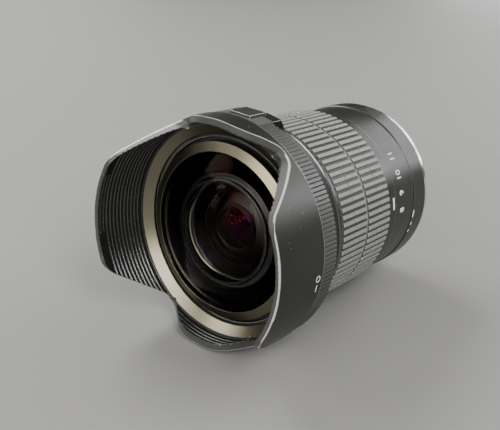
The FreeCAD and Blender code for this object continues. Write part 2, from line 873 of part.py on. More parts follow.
def focus_parts():
    """Front ring, its grip, its cam tube and the motor's turning disc."""
    inner = cam_outer + size("seat_clearance")
    outer = ring_radius
    grip_rear = focus_rear + size("lip_length")
    web_front = focus_web_rear + size("web_length")
    corners = [
        (ring_bore, focus_rear),
        (lip_radius, focus_rear),
        (lip_radius, grip_rear),
        (outer, grip_rear),
        (outer, focus_front),
        (ring_bore, focus_front),
        (ring_bore, rotor_rear),
        (inner, rotor_rear),
        (inner, rotor_web_rear),
        (ring_bore, rotor_web_rear),
        (ring_bore, web_front),
        (inner, web_front),
        (inner, focus_web_rear),
        (ring_bore, focus_web_rear),
    ]
    body = turned_piece("focus_ring", corners)
    screw_station = focus_web_rear + size("web_length") / 2
    screw_holes(body, "focus_ring", screw_station)
    grip("focus_grip", grip_rear, focus_front)
    rear = focus_rear + size("cam_front_setback")
    front = rear + size("focus_cam_length")
    travel = size("focus_travel")
    body = cam_tube("focus_cam_tube", rear, front, focus_roller, travel, size("focus_turn"))
    hole = size("screw_radius") + size("screw_clearance")
    reach = cam_outer + size("cutter_margin")
    radial_hole(body, "focus_cam_holes", screw_station, hole, guide_outer, reach, size("roller_count"))
    ring_screws("focus_ring_screws", screw_station)
    rotor_front = rotor_rear + size("rotor_length")
    ring("motor_rotor", rotor_inner, rotor_outer, rotor_rear, rotor_front)
    stator_rear = rotor_front + size("seat_clearance")
    stator_front = collar_front - size("stator_wall") / 2
    ring("motor_stator", rotor_inner, rotor_outer, stator_rear, stator_front)


# Moving glass groups
def rollers(label, station):
    """Three rollers on their pins, reaching through both tubes' slots."""
    body = new_body(label)
    clearance = size("slide_clearance")
    pin_inner = cell_outer - size("cell_wall") + size("screw_head_depth")
    top = cam_outer - clearance
    seat = cell_outer
    corners = [
        (pin_inner, station),
        (top, station),
        (top, station + size("roller_radius")),
        (seat, station + size("roller_radius")),
        (seat, station + size("screw_radius")),
        (pin_inner, station + size("screw_radius")),
    ]
    axis = [(pin_inner, station), (top, station)]
    sketch = outline(body, f"{label}_outline", "YZ_Plane", corners, axis=axis)
    repeat(body, f"{label}_set", turn(body, f"{label}_first", sketch, axis="Axis0"), size("roller_count"))


def group_cell(label, station, length, glass_radius, glass_length):
    """Cell of one moving group: a tube that slides in the guide, with a seat for its glass."""
    rear = station - length / 2
    front = station + length / 2
    wall = size("cell_wall")
    bore = cell_outer - wall
    seat = glass_radius + size("seat_clearance")
    web_rear = station - glass_length / 2 - size("retainer_length")
    web_front = station + glass_length / 2
    body = turned_piece(label, [
        (bore, rear),
        (cell_outer, rear),
        (cell_outer, front),
        (bore, front),
        (bore, web_front),
        (seat, web_front),
        (seat, web_rear + size("retainer_length")),
        (seat - size("retainer_wall"), web_rear + size("retainer_length")),
        (seat - size("retainer_wall"), web_rear),
        (bore, web_rear),
    ])
    hole = size("screw_radius") + size("screw_clearance")
    reach = cell_outer + size("cutter_margin")
    radial_hole(body, f"{label}_pin_holes", station, hole, bore, reach, size("roller_count"))
    retainer_front = web_front + size("retainer_length")
    retainer_inner = glass_radius - size("retainer_wall")
    ring(label.replace("cell", "retainer"), retainer_inner, seat + wall, web_front, retainer_front)


def biconvex(label, radius, rear, front, rear_sag, front_sag):
    """Round glass with both faces bulging inside a flat rim; rear and front are the rim's stations."""
    rim = radius - size("retainer_wall") - size("slide_clearance")
    corners = [
        (ZERO, rear - rear_sag),
        (rim, rear),
        (radius, rear),
        (radius, front),
        (rim, front),
        (ZERO, front + front_sag),
    ]
    turned_piece(label, corners, arcs={0: None, 4: None})


def moving_groups():
    """Both moving groups, each a cell with its glass, retainer and rollers."""
    glass_length = size("cell_wall") * 2
    half = glass_length / 2 - size("seat_clearance")
    sag = size("retainer_length")
    for group, station in (("zoom", zoom_roller), ("focus", focus_roller)):
        radius = size(f"{group}_glass_radius")
        group_cell(f"{group}_cell", station, size(f"{group}_cell_length"), radius, glass_length)
        rollers(f"{group}_rollers", station)
        biconvex(f"{group}_element", radius, station - half, station + half, sag, sag)


# Iris
iris_rear = zoom_front - size("iris_setback")
blade_count = int(size("iris_blade_count").number)
blades_rear = iris_rear + size("iris_plate") + size("seat_clearance") * 2
blades_front = blades_rear + size("iris_blade_pitch") * blade_count
iris_ring_front = blades_front + size("iris_plate")
iris_wall_front = iris_ring_front + size("slide_clearance")


def iris_housing():
    """Fixed cup with the blades' pivot holes in its floor."""
    wall_inner = size("iris_ring_radius") + size("slide_clearance")
    body = turned_piece("iris_housing", [
        (size("iris_open_radius"), iris_rear),
        (fixed_cell_outer, iris_rear),
        (fixed_cell_outer, iris_wall_front),
        (wall_inner, iris_wall_front),
        (wall_inner, iris_rear + size("iris_plate")),
        (size("iris_open_radius"), iris_rear + size("iris_plate")),
    ])
    hole = size("iris_pin_radius") + size("screw_clearance")
    rear = iris_rear
    front = iris_rear + size("iris_plate")
    axial_hole(body, "pivot_holes", size("iris_pivot_circle"), hole, rear, front, size("iris_blade_count"))
    cover_front_face = iris_wall_front + size("iris_plate")
    ring("iris_cover", size("iris_open_radius"), fixed_cell_outer, iris_wall_front, cover_front_face)


def in_ring_frame(point, degrees):
    """Where a point of the housing lies on a ring that has turned by that angle."""
    return FreeCAD.Rotation(Vector(0, 0, 1), -degrees).multVec(point)


def drive_pin_rest():
    """The first blade's drive pin, behind its pivot on the pivot circle."""
    circle = size("iris_pivot_circle").number
    angle = 2 * math.asin(size("iris_pin_arm").number / (2 * circle))
    return Vector(circle * math.cos(-angle), circle * math.sin(-angle), 0)


def drive_pin_at(share):
    """The first blade's drive pin after that share of the blade's turn."""
    pivot = Vector(size("iris_pivot_circle").number, 0, 0)
    swing = FreeCAD.Rotation(Vector(0, 0, 1), share * size("iris_blade_turn").number)
    return pivot + swing.multVec(drive_pin_rest() - pivot)


def cam_slot(height):
    """Curved slot in the drive ring that follows the pin through the ring's turn."""
    half = size("iris_pin_radius").number + size("slide_clearance").number
    steps = 6
    centres = []
    for step in range(steps + 1):
        share = step / steps
        turned = share * size("iris_ring_turn").number
        centres.append(in_ring_frame(drive_pin_at(share), turned))
    sides = []
    for sign in (1, -1):
        side = []
        for index, centre in enumerate(centres):
            before = centres[max(index - 1, 0)]
            after = centres[min(index + 1, steps)]
            across = (after - before).cross(Vector(0, 0, 1)).normalize()
            side.append(centre + across * half * sign)
        sides.append(side)
    edges = []
    for i in range(0, steps, 2):
        edges.append(Part.Arc(*sides[0][i:i + 3]).toShape())
    last_way = (centres[-1] - centres[-2]).normalize()
    edges.append(Part.Arc(sides[0][-1], centres[-1] + last_way * half, sides[1][-1]).toShape())
    back = sides[1][::-1]
    for i in range(0, steps, 2):
        edges.append(Part.Arc(*back[i:i + 3]).toShape())
    first_way = (centres[0] - centres[1]).normalize()
    edges.append(Part.Arc(sides[1][0], centres[0] + first_way * half, sides[0][0]).toShape())
    return Part.Face(Part.Wire(Part.__sortEdges__(edges))).extrude(Vector(0, 0, height))


def iris_drive_ring():
    """Turning ring whose curved slots swing the blades."""
    rear = (blades_front + size("seat_clearance")).number
    height = iris_ring_front.number - rear
    outer = Part.makeCylinder(size("iris_ring_radius").number, height)
    disc = outer.cut(Part.makeCylinder(size("iris_open_radius").number, height))
    slot = cam_slot(height)
    slots = []
    for index in range(blade_count):
        slots.append(slot.rotated(Vector(0, 0, 0), Vector(0, 0, 1), index * 360 / blade_count))
    disc = disc.cut(Part.makeCompound(slots))
    shaped_piece("iris_drive_ring", disc.translated(Vector(0, 0, rear)))


def blade_plate(thickness):
    """One blade's flat crescent with its lug, pivot on the X axis, wide open."""
    inner = size("iris_open_radius").number
    outer = inner + size("iris_blade_width").number
    sweep = size("iris_blade_sweep").number
    band = Part.makeCylinder(outer, thickness, Vector(0, 0, 0), Vector(0, 0, 1), sweep)
    band = band.cut(Part.makeCylinder(inner, thickness))
    pivot = Vector(size("iris_pivot_circle").number, 0, 0)
    pin = drive_pin_rest()
    lug = size("iris_lug_radius").number
    along = (pin - pivot).normalize()
    across = along.cross(Vector(0, 0, 1))
    tail = Part.makePolygon([
        pivot + across * lug,
        pin + across * lug,
        pin - across * lug,
        pivot - across * lug,
        pivot + across * lug,
    ])
    plate = Part.Face(tail).extrude(Vector(0, 0, thickness))
    plate = plate.fuse(Part.makeCylinder(lug, thickness, pivot))
    plate = plate.fuse(Part.makeCylinder(lug, thickness, pin))
    start = inner + size("turning_gap").number
    root = Part.makeBox(pivot.x - start, lug * 2, thickness, Vector(start, -lug, 0))
    root = root.cut(Part.makeCylinder(inner, thickness))
    return plate.fuse(root).fuse(band).removeSplitter()


def iris_blades():
    """Seven thin blades, each on its own level between the housing's floor and the drive ring."""
    thickness = size("iris_blade_thickness").number
    pin_radius = size("iris_pin_radius").number
    clearance = size("slide_clearance").number
    pivot = Vector(size("iris_pivot_circle").number, 0, 0)
    for index in range(blade_count):
        level = blades_rear.number + index * size("iris_blade_pitch").number
        plate = blade_plate(thickness).translated(Vector(0, 0, level))
        foot = iris_rear.number + clearance
        pivot_pin = Part.makeCylinder(pin_radius, level + thickness - foot, pivot + Vector(0, 0, foot))
        top = iris_ring_front.number - clearance
        drive_pin = Part.makeCylinder(pin_radius, top - level, drive_pin_rest() + Vector(0, 0, level))
        blade = plate.fuse([pivot_pin, drive_pin]).removeSplitter()
        shaped_piece(f"iris_blade_{index + 1}", blade, turned_to(index * 360 / blade_count))


# Front glass, its cell and bezel
bezel_lip_rear = glass_plane - size("bezel_lip_depth")


def front_glass():
    edge = front_glass_edge
    dome_edge = glass_plane - size("glass_rim_depth")
    hollow_top = glass_seat + size("front_hollow_depth")
    corners = [
        (front_glass_edge - size("front_hollow_inset"), glass_seat),
        (edge, glass_seat),
        (edge, dome_edge - size("front_glass_bevel")),
        (front_glass_radius, dome_edge),
        (ZERO, dome_edge + size("front_glass_sag")),
        (ZERO, hollow_top),
    ]
    turned_piece("front_element", corners, arcs={3: None, 5: None})
    seat = glass_seat - size("glass_spacing")
    rim = seat - size("second_edge_length")
    corners = [
        (second_glass_radius - size("second_hollow_inset"), rim),
        (second_glass_radius, rim),
        (second_glass_radius, seat),
        (ZERO, seat + size("second_glass_sag")),
        (ZERO, rim + size("second_hollow_depth")),
    ]
    turned_piece("second_element", corners, arcs={2: None, 4: None})
    third_front = rim - size("retainer_length")
    third_rear = third_front - size("third_glass_length")
    sag = size("third_glass_sag")
    biconvex("third_element", size("third_glass_radius"), third_rear, third_front, sag / 2, sag)


def front_cell():
    """Fixed cell that holds the three front glasses in its steps."""
    clearance = size("seat_clearance")
    glass = front_glass_edge + clearance
    second = second_glass_radius + clearance
    third = size("third_glass_radius") + clearance
    second_seat = glass_seat - size("glass_spacing") - size("second_edge_length")
    third_seat = second_seat - size("retainer_length") - size("third_glass_length")
    rear = third_seat - size("retainer_length")
    flange_outer = front_bore - size("seat_clearance")
    flange_front = cell_seat + size("cell_flange_length")
    thread = bezel_thread_radius - clearance
    wall_top = bezel_lip_rear - size("slide_clearance")
    corners = [
        (third - size("retainer_wall"), rear),
        (fixed_cell_outer, rear),
        (fixed_cell_outer, cell_seat),
        (flange_outer, cell_seat),
        (flange_outer, flange_front),
        (thread, flange_front),
        (thread, wall_top),
        (glass, wall_top),
        (glass, glass_seat),
        (second, glass_seat),
        (second, second_seat),
        (third, second_seat),
        (third, third_seat),
        (third - size("retainer_wall"), third_seat),
    ]
    turned_piece("front_cell", corners)


def front_bezel():
    """Satin ring screwed on the front cell; its lip holds the front glass."""
    clearance = size("slide_clearance")
    rear = cell_seat + size("cell_flange_length") + clearance
    corners = [
        (bezel_thread_radius, rear),
        (bezel_radius, rear),
        (bezel_radius, glass_plane - size("bezel_slope")),
        (front_glass_radius + size("bezel_lip"), glass_plane),
        (front_glass_radius + clearance, glass_plane - size("glass_rim_depth") + clearance),
        (front_glass_edge + clearance, bezel_lip_rear),
        (bezel_thread_radius, bezel_lip_rear),
    ]
    turned_piece("front_bezel", corners)


def rear_glass():
    """Fixed rear cell with the last glass, and the light baffle behind it."""
    baffle_rear = cover_rear
    rear = baffle_rear + size("baffle_length")
    front = rear + size("rear_cell_length")
    seat = size("rear_glass_radius") + size("seat_clearance")
    glass_rear = rear + size("rear_glass_setback")
    glass_front = glass_rear + size("rear_glass_length")
    turned_piece("rear_cell", [
        (seat, rear),
        (fixed_cell_outer, rear),
        (fixed_cell_outer, front),
        (seat - size("retainer_wall"), front),
        (seat - size("retainer_wall"), glass_front),
        (seat, glass_front),
    ])
    sag = size("rear_glass_sag")
    biconvex("rear_element", size("rear_glass_radius"), glass_rear, glass_front, sag, sag)
    body = new_body("rear_baffle")
    corners = [
        (ZERO, baffle_rear),
        (fixed_cell_outer, baffle_rear),
        (fixed_cell_outer, rear),
        (ZERO, rear),
    ]
    turn(body, "baffle_disc", outline(body, "baffle_outline", "XZ_Plane", corners))
    half_width = size("baffle_width") / 2
    half_height = size("baffle_height") / 2
    corners = [
        (half_width, half_height),
        (-half_width, half_height),
        (-half_width, -half_height),
        (half_width, -half_height),
    ]
    sketch = outline(body, "window_outline", "XY_Plane", corners)
    extrude(body, "window", sketch, size("cover_length") * 2, both_ways=True, cut=True)


# Petal hood
def rib_corners(first, inner):
    """Ribs down the hood's funnel: broad lands with a fine V groove in front of each."""
    half = size("rib_groove_width") / 2
    count = int(size("rib_count").number)
    corners = []
    for index in range(count):
        land = inner - size("hood_taper") * (index / count)
        middle = first - size("rib_pitch") * index
        corners.append((land, middle + half, None))
        corners.append((land + size("rib_depth"), middle, None))
        corners.append((land, middle - half, None))
    return corners


def hood_wall_outline(body):
    """Half section of the hood's wall, from the skirt's rear edge to the long petals' tips.

    Each corner is a radius, a station and the centre of the arc that leaves it, if any.
    """
    edge = size("hood_rim_round")
    rear_edge = size("skirt_rear_round")
    rim_inner = hood_radius - size("hood_wall")
    skirt_inner = skirt_rear_radius - size("skirt_wall")
    chamber = knurl_root - size("skirt_wall")
    rear_centre = (skirt_rear_radius - rear_edge, hood_rear + rear_edge)
    outer_centre = (hood_radius - edge, long_tip - edge)
    inner_centre = (rim_inner + edge, long_tip - edge)
    first_rib = long_tip - size("rim_band")
    corners = [
        (skirt_inner, hood_rear, None),
        (skirt_rear_radius - rear_edge, hood_rear, rear_centre),
        (skirt_rear_radius, hood_rear + rear_edge, None),
        (hood_radius - size("skirt_front_inset"), knurl_rear, None),
        (knurl_root, knurl_rear, None),
        (knurl_root, knurl_front, None),
        (hood_radius, knurl_front, None),
        (hood_radius, long_tip - edge, outer_centre),
        (hood_radius - edge, long_tip, None),
        (rim_inner + edge, long_tip, inner_centre),
        (rim_inner, long_tip - edge, None),
    ]
    corners += rib_corners(first_rib, rim_inner)
    corners += [
        (rim_inner - size("hood_taper"), glass_plane, None),
        (hood_radius - size("bevel_inset"), glass_plane, None),
        (band_bore, band_inner_edge, None),
        (band_bore, band_rear, None),
        (lug_chamber, band_rear, None),
        (lug_chamber, hood_flange_front, None),
        (hood_flange_bore, hood_flange_front, None),
        (hood_flange_bore, hood_flange_rear, None),
        (chamber, hood_flange_rear, None),
        (chamber, knurl_rear + edge, None),
    ]
    arcs = {index: corner[2] for index, corner in enumerate(corners) if corner[2] is not None}
    return outline(body, "hood_wall_outline", "XZ_Plane", [corner[:2] for corner in corners], arcs)


def catch_grooves():
    """Pair of fine grooves inside each long petal, where a cap's catch takes hold."""
    body = document.addObject("PartDesign::Body", "catch_grooves")
    body.AllowCompound = True
    inner = hood_radius - size("hood_wall") - size("catch_groove_depth")
    outer = hood_radius - size("hood_wall") + size("catch_groove_depth")
    half = size("catch_groove_width") / 2
    middle = long_tip - size("catch_groove_setback")
    offset = size("catch_groove_spacing") / 2
    grooves = []
    for name, station in (("front_groove", middle + offset), ("rear_groove", middle - offset)):
        corners = [
            (inner, station - half),
            (outer, station - half),
            (outer, station + half),
            (inner, station + half),
        ]
        sketch = outline(body, f"{name}_outline", "XZ_Plane", corners)
        grooves.append(turn(body, name, sketch, size("catch_groove_angle")))
    repeat(body, "groove_pairs", grooves, Size("2", 2))
    way = -size("catch_groove_turn").number
    body.Placement = FreeCAD.Placement(Vector(0, 0, 0), FreeCAD.Rotation(Vector(0, 0, 1), way))
    return body


def petal_mask(pair, plane):
    """Block whose top follows one pair of petals as seen along their axis."""
    half_tip = size(f"{pair}_petal_half_width")
    half_valley = size(f"{pair}_valley_half_width")
    tip = glass_plane + size(f"{pair}_petal_reach")
    reach = hood_radius + size("cutter_margin")
    floor = hood_rear - size("cutter_margin")
    body = document.addObject("PartDesign::Body", f"{pair}_petals")
    corners = [
        (reach, floor),
        (reach, valley),
        (half_valley, valley),
        (half_tip, tip),
        (-half_tip, tip),
        (-half_valley, valley),
        (-reach, valley),
        (-reach, floor),
    ]
    sketch = outline(body, f"{pair}_petal_outline", plane, corners)
    extrude(body, f"{pair}_petal_block", sketch, reach * 2, both_ways=True)
    rounds = (
        ("tip", half_tip, tip, size(f"{pair}_petal_round")),
        ("valley", half_valley, valley, size("valley_round")),
    )
    for place, half_width, station, radius in rounds:
        document.recompute()
        block = body.Tip
        edges = corner_edges(body.Shape, plane, half_width.number, station.number)
        fillet = body.newObject("PartDesign::Fillet", f"{pair}_{place}_round")
        fillet.Base = (block, edges)
        fillet.Radius = radius.number
        fillet.setExpression("Radius", radius.formula)
    return body


def corner_edges(shape, plane, half_width, station):
    """Names of the straight edges that run along the block at plus or minus half_width."""
    names = []
    for index, edge in enumerate(shape.Edges, start=1):
        ends = [vertex.Point for vertex in edge.Vertexes]
        across = [point.y if plane == "YZ_Plane" else point.x for point in ends]
        level = all(abs(point.z - station) < 1e-4 for point in ends)
        beside = all(abs(abs(value) - half_width) < 1e-4 for value in across)
        if level and beside and abs(across[0] - across[-1]) < 1e-4:
            names.append(f"Edge{index}")
    return names


def knurl_band():
    """Straight ribs round the hood's base, as one extruded saw-tooth outline."""
    count = int(size("knurl_count").number)
    root = knurl_root.number
    crest = root + size("knurl_height").number
    points = []
    for index in range(count * 2):
        angle = math.pi * index / count
        radius = crest if index % 2 else root + size("seat_clearance").number
        points.append(Vector(radius * math.cos(angle), radius * math.sin(angle), knurl_rear.number))
    points.append(points[0])
    band = Part.Face(Part.Wire(Part.makePolygon(points)))
    band = band.extrude(Vector(0, 0, size("knurl_length").number))
    base = Vector(0, 0, knurl_rear.number)
    core = root - size("skirt_wall").number / 2
    feature = document.addObject("Part::Feature", "knurl_band")
    feature.Shape = band.cut(Part.makeCylinder(core, size("knurl_length").number, base))
    return feature


button_front = knurl_front - size("button_setback")
button_rear = button_front - size("button_length")
button_top = hood_radius + size("button_rise")
button_base = button_top - size("button_depth")
pocket_floor = button_base - size("button_travel") - size("slide_clearance")


def button_housing():
    """Smooth raised sector of the hood that holds the lock button, centred on local +Y."""
    body = document.addObject("PartDesign::Body", "button_housing")
    inner = skirt_rear_radius - size("skirt_wall")
    corners = [
        (inner, hood_rear + size("hood_rim_round")),
        (skirt_rear_radius, hood_rear + size("hood_rim_round")),
        (hood_radius, knurl_rear - size("skirt_length") / 2),
        (hood_radius, knurl_front),
        (inner, knurl_front),
    ]
    sketch = outline(body, "housing_outline", "YZ_Plane", corners)
    turn(body, "housing_block", sketch, size("button_housing_angle"))
    return body


def button_pocket():
    """Space cut in the hood for the button and its travel."""
    body = document.addObject("PartDesign::Body", "button_pocket")
    clearance = size("slide_clearance")
    half = size("button_width") / 2 + clearance
    corners = [
        (half, button_rear - clearance),
        (half, button_front + clearance),
        (-half, button_front + clearance),
        (-half, button_rear - clearance),
    ]
    sketch = outline(body, "pocket_outline", "XZ_Plane", corners, lift=-pocket_floor)
    extrude(body, "pocket_block", sketch, size("button_depth") * 2, reverse=True)
    return body


def hood_notches():
    """Two gaps in the hood's inner flange that let the barrel's lugs pass."""
    body = document.addObject("PartDesign::Body", "hood_notches")
    inner = hood_flange_bore - size("cutter_margin")
    rear = hood_flange_rear - size("cutter_margin")
    corners = [(inner, rear), (lug_chamber, rear), (lug_chamber, front_rim), (inner, front_rim)]
    sketch = outline(body, "notch_outline", "XZ_Plane", corners)
    angle = size("lug_angle") + size("hood_notch_clearance")
    repeat(body, "notches", turn(body, "notch", sketch, angle), Size("2", 2))
    way = size("lug_direction").number - size("hood_turn").number - size("hood_phase").number
    body.Placement = FreeCAD.Placement(Vector(0, 0, 0), FreeCAD.Rotation(Vector(0, 0, 1), way))
    return body


def petal_hood():
    """Turned wall cut to four petals, with the knurled base, button housing and bayonet."""
    wall = document.addObject("PartDesign::Body", "hood_wall")
    turn(wall, "hood_wall_turning", hood_wall_outline(wall))
    petals = document.addObject("Part::MultiFuse", "petals")
    petals.Shapes = [petal_mask("long", "YZ_Plane"), petal_mask("short", "XZ_Plane")]
    cut_wall = document.addObject("Part::MultiCommon", "cut_wall")
    cut_wall.Shapes = [wall, petals]
    full = document.addObject("Part::MultiFuse", "hood_blank")
    full.Shapes = [cut_wall, knurl_band(), button_housing()]
    full.Refine = True
    openings = document.addObject("Part::MultiFuse", "hood_openings")
    openings.Shapes = [button_pocket(), hood_notches(), catch_grooves()]
    hood = document.addObject("Part::Cut", "petal_hood")
    hood.Label = "petal_hood"
    hood.Base = full
    hood.Tool = openings
    hood.Placement = turned_to(size("hood_phase").number)
    NODES.append(hood)


def hood_button():
    """Push button that frees the hood, standing proud of its housing."""
    body = new_body("hood_button", turned_to(size("hood_phase").number))
    half = size("button_width") / 2
    corners = [(half, button_rear), (half, button_front), (-half, button_front), (-half, button_rear)]
    sketch = outline(body, "button_outline", "XZ_Plane", corners, lift=-button_base)
    extrude(body, "button_block", sketch, size("button_depth"), reverse=True)


bayonet_mount()
mount_screws()
contact_block()
contact_pins()
rear_cover()
ring("scale_barrel", scale_bore, scale_radius, cover_front, scale_front)
index_ring()
guide_tube()
main_board()
middle_ring()
front_barrel()
zoom_parts()
focus_parts()
moving_groups()
iris_housing()
iris_drive_ring()
iris_blades()
front_glass()
front_cell()
front_bezel()
rear_glass()
petal_hood()
hood_button()
document.recompute()

# Check every object before anything is written
for item in document.Objects:
    if "Invalid" in item.State or "Error" in item.State:
        raise RuntimeError(f"{item.Label} is {item.State}")
for node in NODES:
    if node.Shape.isNull() or not node.Shape.isValid():
        raise RuntimeError(f"{node.Label} has no valid shape")
    node.Shape.exportStep(f"parts/{node.Label}.step")
    box = node.Shape.BoundBox
    print(f"{node.Label}: {len(node.Shape.Solids)} solids, {node.Shape.Volume:.1f} mm3,",
          f"y {box.YMin:.2f} to {box.YMax:.2f}, width {box.XLength:.2f}")
print(f"{len(NODES)} nodes")
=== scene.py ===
# %% [markdown]
# # A wide-angle zoom lens with a petal hood
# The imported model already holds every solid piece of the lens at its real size. This lesson
# dresses it: each piece gets the finish that it has on the real lens, the printed marks and
# fine trim are added as thin pieces, and a quiet studio shows it from the photograph's side.
# Loading the frame comes first, because every later step measures from it.

# %% Load the frame
import json
import math

import bmesh
import bpy
from mathutils import Matrix, Vector


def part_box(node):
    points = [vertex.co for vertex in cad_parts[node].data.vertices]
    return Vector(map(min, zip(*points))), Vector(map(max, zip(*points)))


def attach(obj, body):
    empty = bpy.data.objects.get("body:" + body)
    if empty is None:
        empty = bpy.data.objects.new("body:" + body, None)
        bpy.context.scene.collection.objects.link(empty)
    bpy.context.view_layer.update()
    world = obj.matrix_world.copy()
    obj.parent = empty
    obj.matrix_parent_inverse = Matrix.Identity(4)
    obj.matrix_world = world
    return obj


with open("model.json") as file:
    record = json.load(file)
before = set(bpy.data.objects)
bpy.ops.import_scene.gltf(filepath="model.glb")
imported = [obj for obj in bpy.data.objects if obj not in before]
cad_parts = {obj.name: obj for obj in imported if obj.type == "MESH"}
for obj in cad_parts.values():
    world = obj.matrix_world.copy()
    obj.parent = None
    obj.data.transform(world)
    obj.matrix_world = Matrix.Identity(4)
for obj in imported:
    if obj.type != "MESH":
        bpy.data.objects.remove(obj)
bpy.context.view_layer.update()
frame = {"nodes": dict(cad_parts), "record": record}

nodes = frame["nodes"]
MM = 0.001
print("pieces loaded:", len(nodes))

# %% [markdown]
# ## Measuring the pieces
# The optical axis is the world's Y axis: the front glass looks to -Y and the camera mount
# is at zero. Distances that the finishes need could be typed in, but then they would go
# wrong as soon as the solid model changed. The main ones are read from the pieces instead,
# and the rest count from the plane of the front glass's edge, where the satin ring starts.

# %% Measure the pieces
def outer_radius(node):
    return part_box(node)[1][2]


glass_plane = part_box("front_bezel")[0][1]
hood_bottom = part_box("petal_hood")[0][2]
grip_radius = outer_radius("zoom_grip")
index_radius = outer_radius("index_ring")
scale_radius = outer_radius("scale_barrel")
cover_radius = outer_radius("rear_cover")
print("front glass edge at y", round(glass_plane / MM, 2), "mm")

# %% [markdown]
# ## Camera
# The photograph was taken from the front left and a little above. Its circles fix one
# viewpoint: the lens's rings shrink and turn as they do only from there. The focal length
# is written for Blender's 36 mm wide sensor. The camera could be aimed with a constraint,
# but three directions say it exactly: where its right side, its top and its back point.

# %% Camera
PHOTO_WIDTH = 500
FOCAL_PIXELS = 800.0
SENSOR_WIDTH = 36.0
EYE = Vector((0.16449, -0.28333, 0.09983))
AHEAD = Vector((-0.57608, 0.74329, -0.34007)).normalized()
RIGHT = Vector((0.77547, 0.62852, 0.06011))
RIGHT = (RIGHT - AHEAD * RIGHT.dot(AHEAD)).normalized()
UP = RIGHT.cross(AHEAD)


def add_camera():
    data = bpy.data.cameras.new("studio_camera")
    data.sensor_width = SENSOR_WIDTH
    data.lens = FOCAL_PIXELS / PHOTO_WIDTH * SENSOR_WIDTH
    data.clip_start = 0.01
    data.clip_end = 20.0
    camera = bpy.data.objects.new("studio_camera", data)
    turn = Matrix((RIGHT, UP, -AHEAD)).transposed().to_4x4()
    camera.matrix_world = Matrix.Translation(EYE) @ turn
    bpy.context.collection.objects.link(camera)
    bpy.context.scene.camera = camera


add_camera()
print("camera", round(EYE.length / MM), "mm from the mount")

# %% [markdown]
# ## Floor
# The lens lies on its side and rests on two circles: the ribbed base of its hood and the
# rear cover. The hood is wider, so a floor level with the optical axis would touch only the
# hood. Turning the lens would part it from the solid model, so the floor slopes instead, by
# the angle that the two radii and the distance between the circles give.

# %% Floor
FLOOR_SIZE = 6.0
FLOOR_COLOUR = (0.212, 0.209, 0.203)
FLOOR_ROUGHNESS = 0.75
CREST_INSET = 0.4 * MM
COVER_REST = -2.7 * MM
KNURL_REAR = glass_plane + 11.0 * MM

hood_rest = Vector((0.0, KNURL_REAR, hood_bottom + CREST_INSET))
cover_rest = Vector((0.0, COVER_REST, -cover_radius))
slope = math.atan2(cover_rest.z - hood_rest.z, cover_rest.y - hood_rest.y)


def floor_finish():
    material = bpy.data.materials.new("studio_floor")
    material.use_nodes = True
    shader = material.node_tree.nodes["Principled BSDF"]
    shader.inputs["Base Color"].default_value = (*FLOOR_COLOUR, 1)
    shader.inputs["Roughness"].default_value = FLOOR_ROUGHNESS
    return material


def add_floor():
    mesh = bpy.data.meshes.new("studio_floor")
    half = FLOOR_SIZE / 2
    corners = [(-half, -half, 0), (half, -half, 0), (half, half, 0), (-half, half, 0)]
    mesh.from_pydata(corners, [], [(0, 1, 2, 3)])
    mesh.materials.append(floor_finish())
    floor = bpy.data.objects.new("studio_floor", mesh)
    floor.location = hood_rest
    floor.rotation_euler = (slope, 0, 0)
    bpy.context.collection.objects.link(floor)


add_floor()
print("floor slope", round(math.degrees(slope), 2), "degrees")

# %% [markdown]
# ## Light
# Black and satin parts show mostly what they mirror. An even sky would light them, but it
# would also turn them grey, so the world stays dim and each highlight gets its own panel,
# placed where the surface that should shine mirrors it:
# - ceiling_panel lights the barrel's top and the hood's lower inner wall;
# - right_panel draws the bevels between the rings and the glints on the grips;
# - high_left_panel draws the rim along the petals' upper flanks;
# - front_panel is what the satin rings and the ribs low in the hood mirror;
# - front_left_panel leaves a soft patch on the front glass and fills the shade;
# - left_panel draws the hood's left edge;
# - right_rear_panel leaves a soft sheen on the hood's right petal;
# - rear_panel draws the rear edges, and low_rear_panel the edge of the hood's skirt.

# %% Panels
WHITE = (1.0, 1.0, 1.0)
WARM_WHITE = (1.0, 0.99, 0.96)
LAMP_WHITE = (1.0, 0.985, 0.95)

# Each panel has a name, a place, a width and height in metres, its watts and its tint.
PANELS = (
    ("ceiling_panel", (0.30, 0.32, 0.62), (0.50, 0.50), 2.2, LAMP_WHITE),
    ("right_panel", (0.62, -0.44, 0.54), (0.26, 0.42), 7.5, WHITE),
    ("high_left_panel", (-0.62, 0.03, 0.70), (0.55, 0.28), 8.5, WHITE),
    ("front_panel", (0.04, -1.00, 0.27), (0.78, 0.50), 10.0, WARM_WHITE),
    ("front_left_panel", (-0.75, -0.80, 0.66), (0.50, 0.40), 4.5, WARM_WHITE),
    ("left_panel", (-1.00, 0.20, 0.22), (1.00, 0.30), 4.0, WHITE),
    ("right_rear_panel", (0.46, 0.64, 0.34), (0.22, 0.26), 2.8, WHITE),
    ("rear_panel", (0.05, 0.90, 0.40), (0.50, 0.25), 3.0, WHITE),
    ("low_rear_panel", (-0.22, 0.95, 0.16), (0.40, 0.12), 2.0, WHITE),
)


def add_panel(name, place, size, watts, tint):
    """Hang a panel light that faces the middle of the lens."""
    data = bpy.data.lights.new(name, "AREA")
    data.shape = "RECTANGLE"
    data.size, data.size_y = size
    data.energy = watts
    data.color = tint
    light = bpy.data.objects.new(name, data)
    light.location = place
    aim = Vector((0.0, glass_plane / 2, 0.0)) - Vector(place)
    light.rotation_mode = "QUATERNION"
    light.rotation_quaternion = aim.to_track_quat("-Z", "Y")
    bpy.context.collection.objects.link(light)


for panel in PANELS:
    add_panel(*panel)
print("panels hung:", len(PANELS))

# %% [markdown]
# ## Dim world
# Every surface also mirrors the world round it. A bright world would fill the deep blacks
# and a black one would make them look cut out, so it is a very dim, even grey.

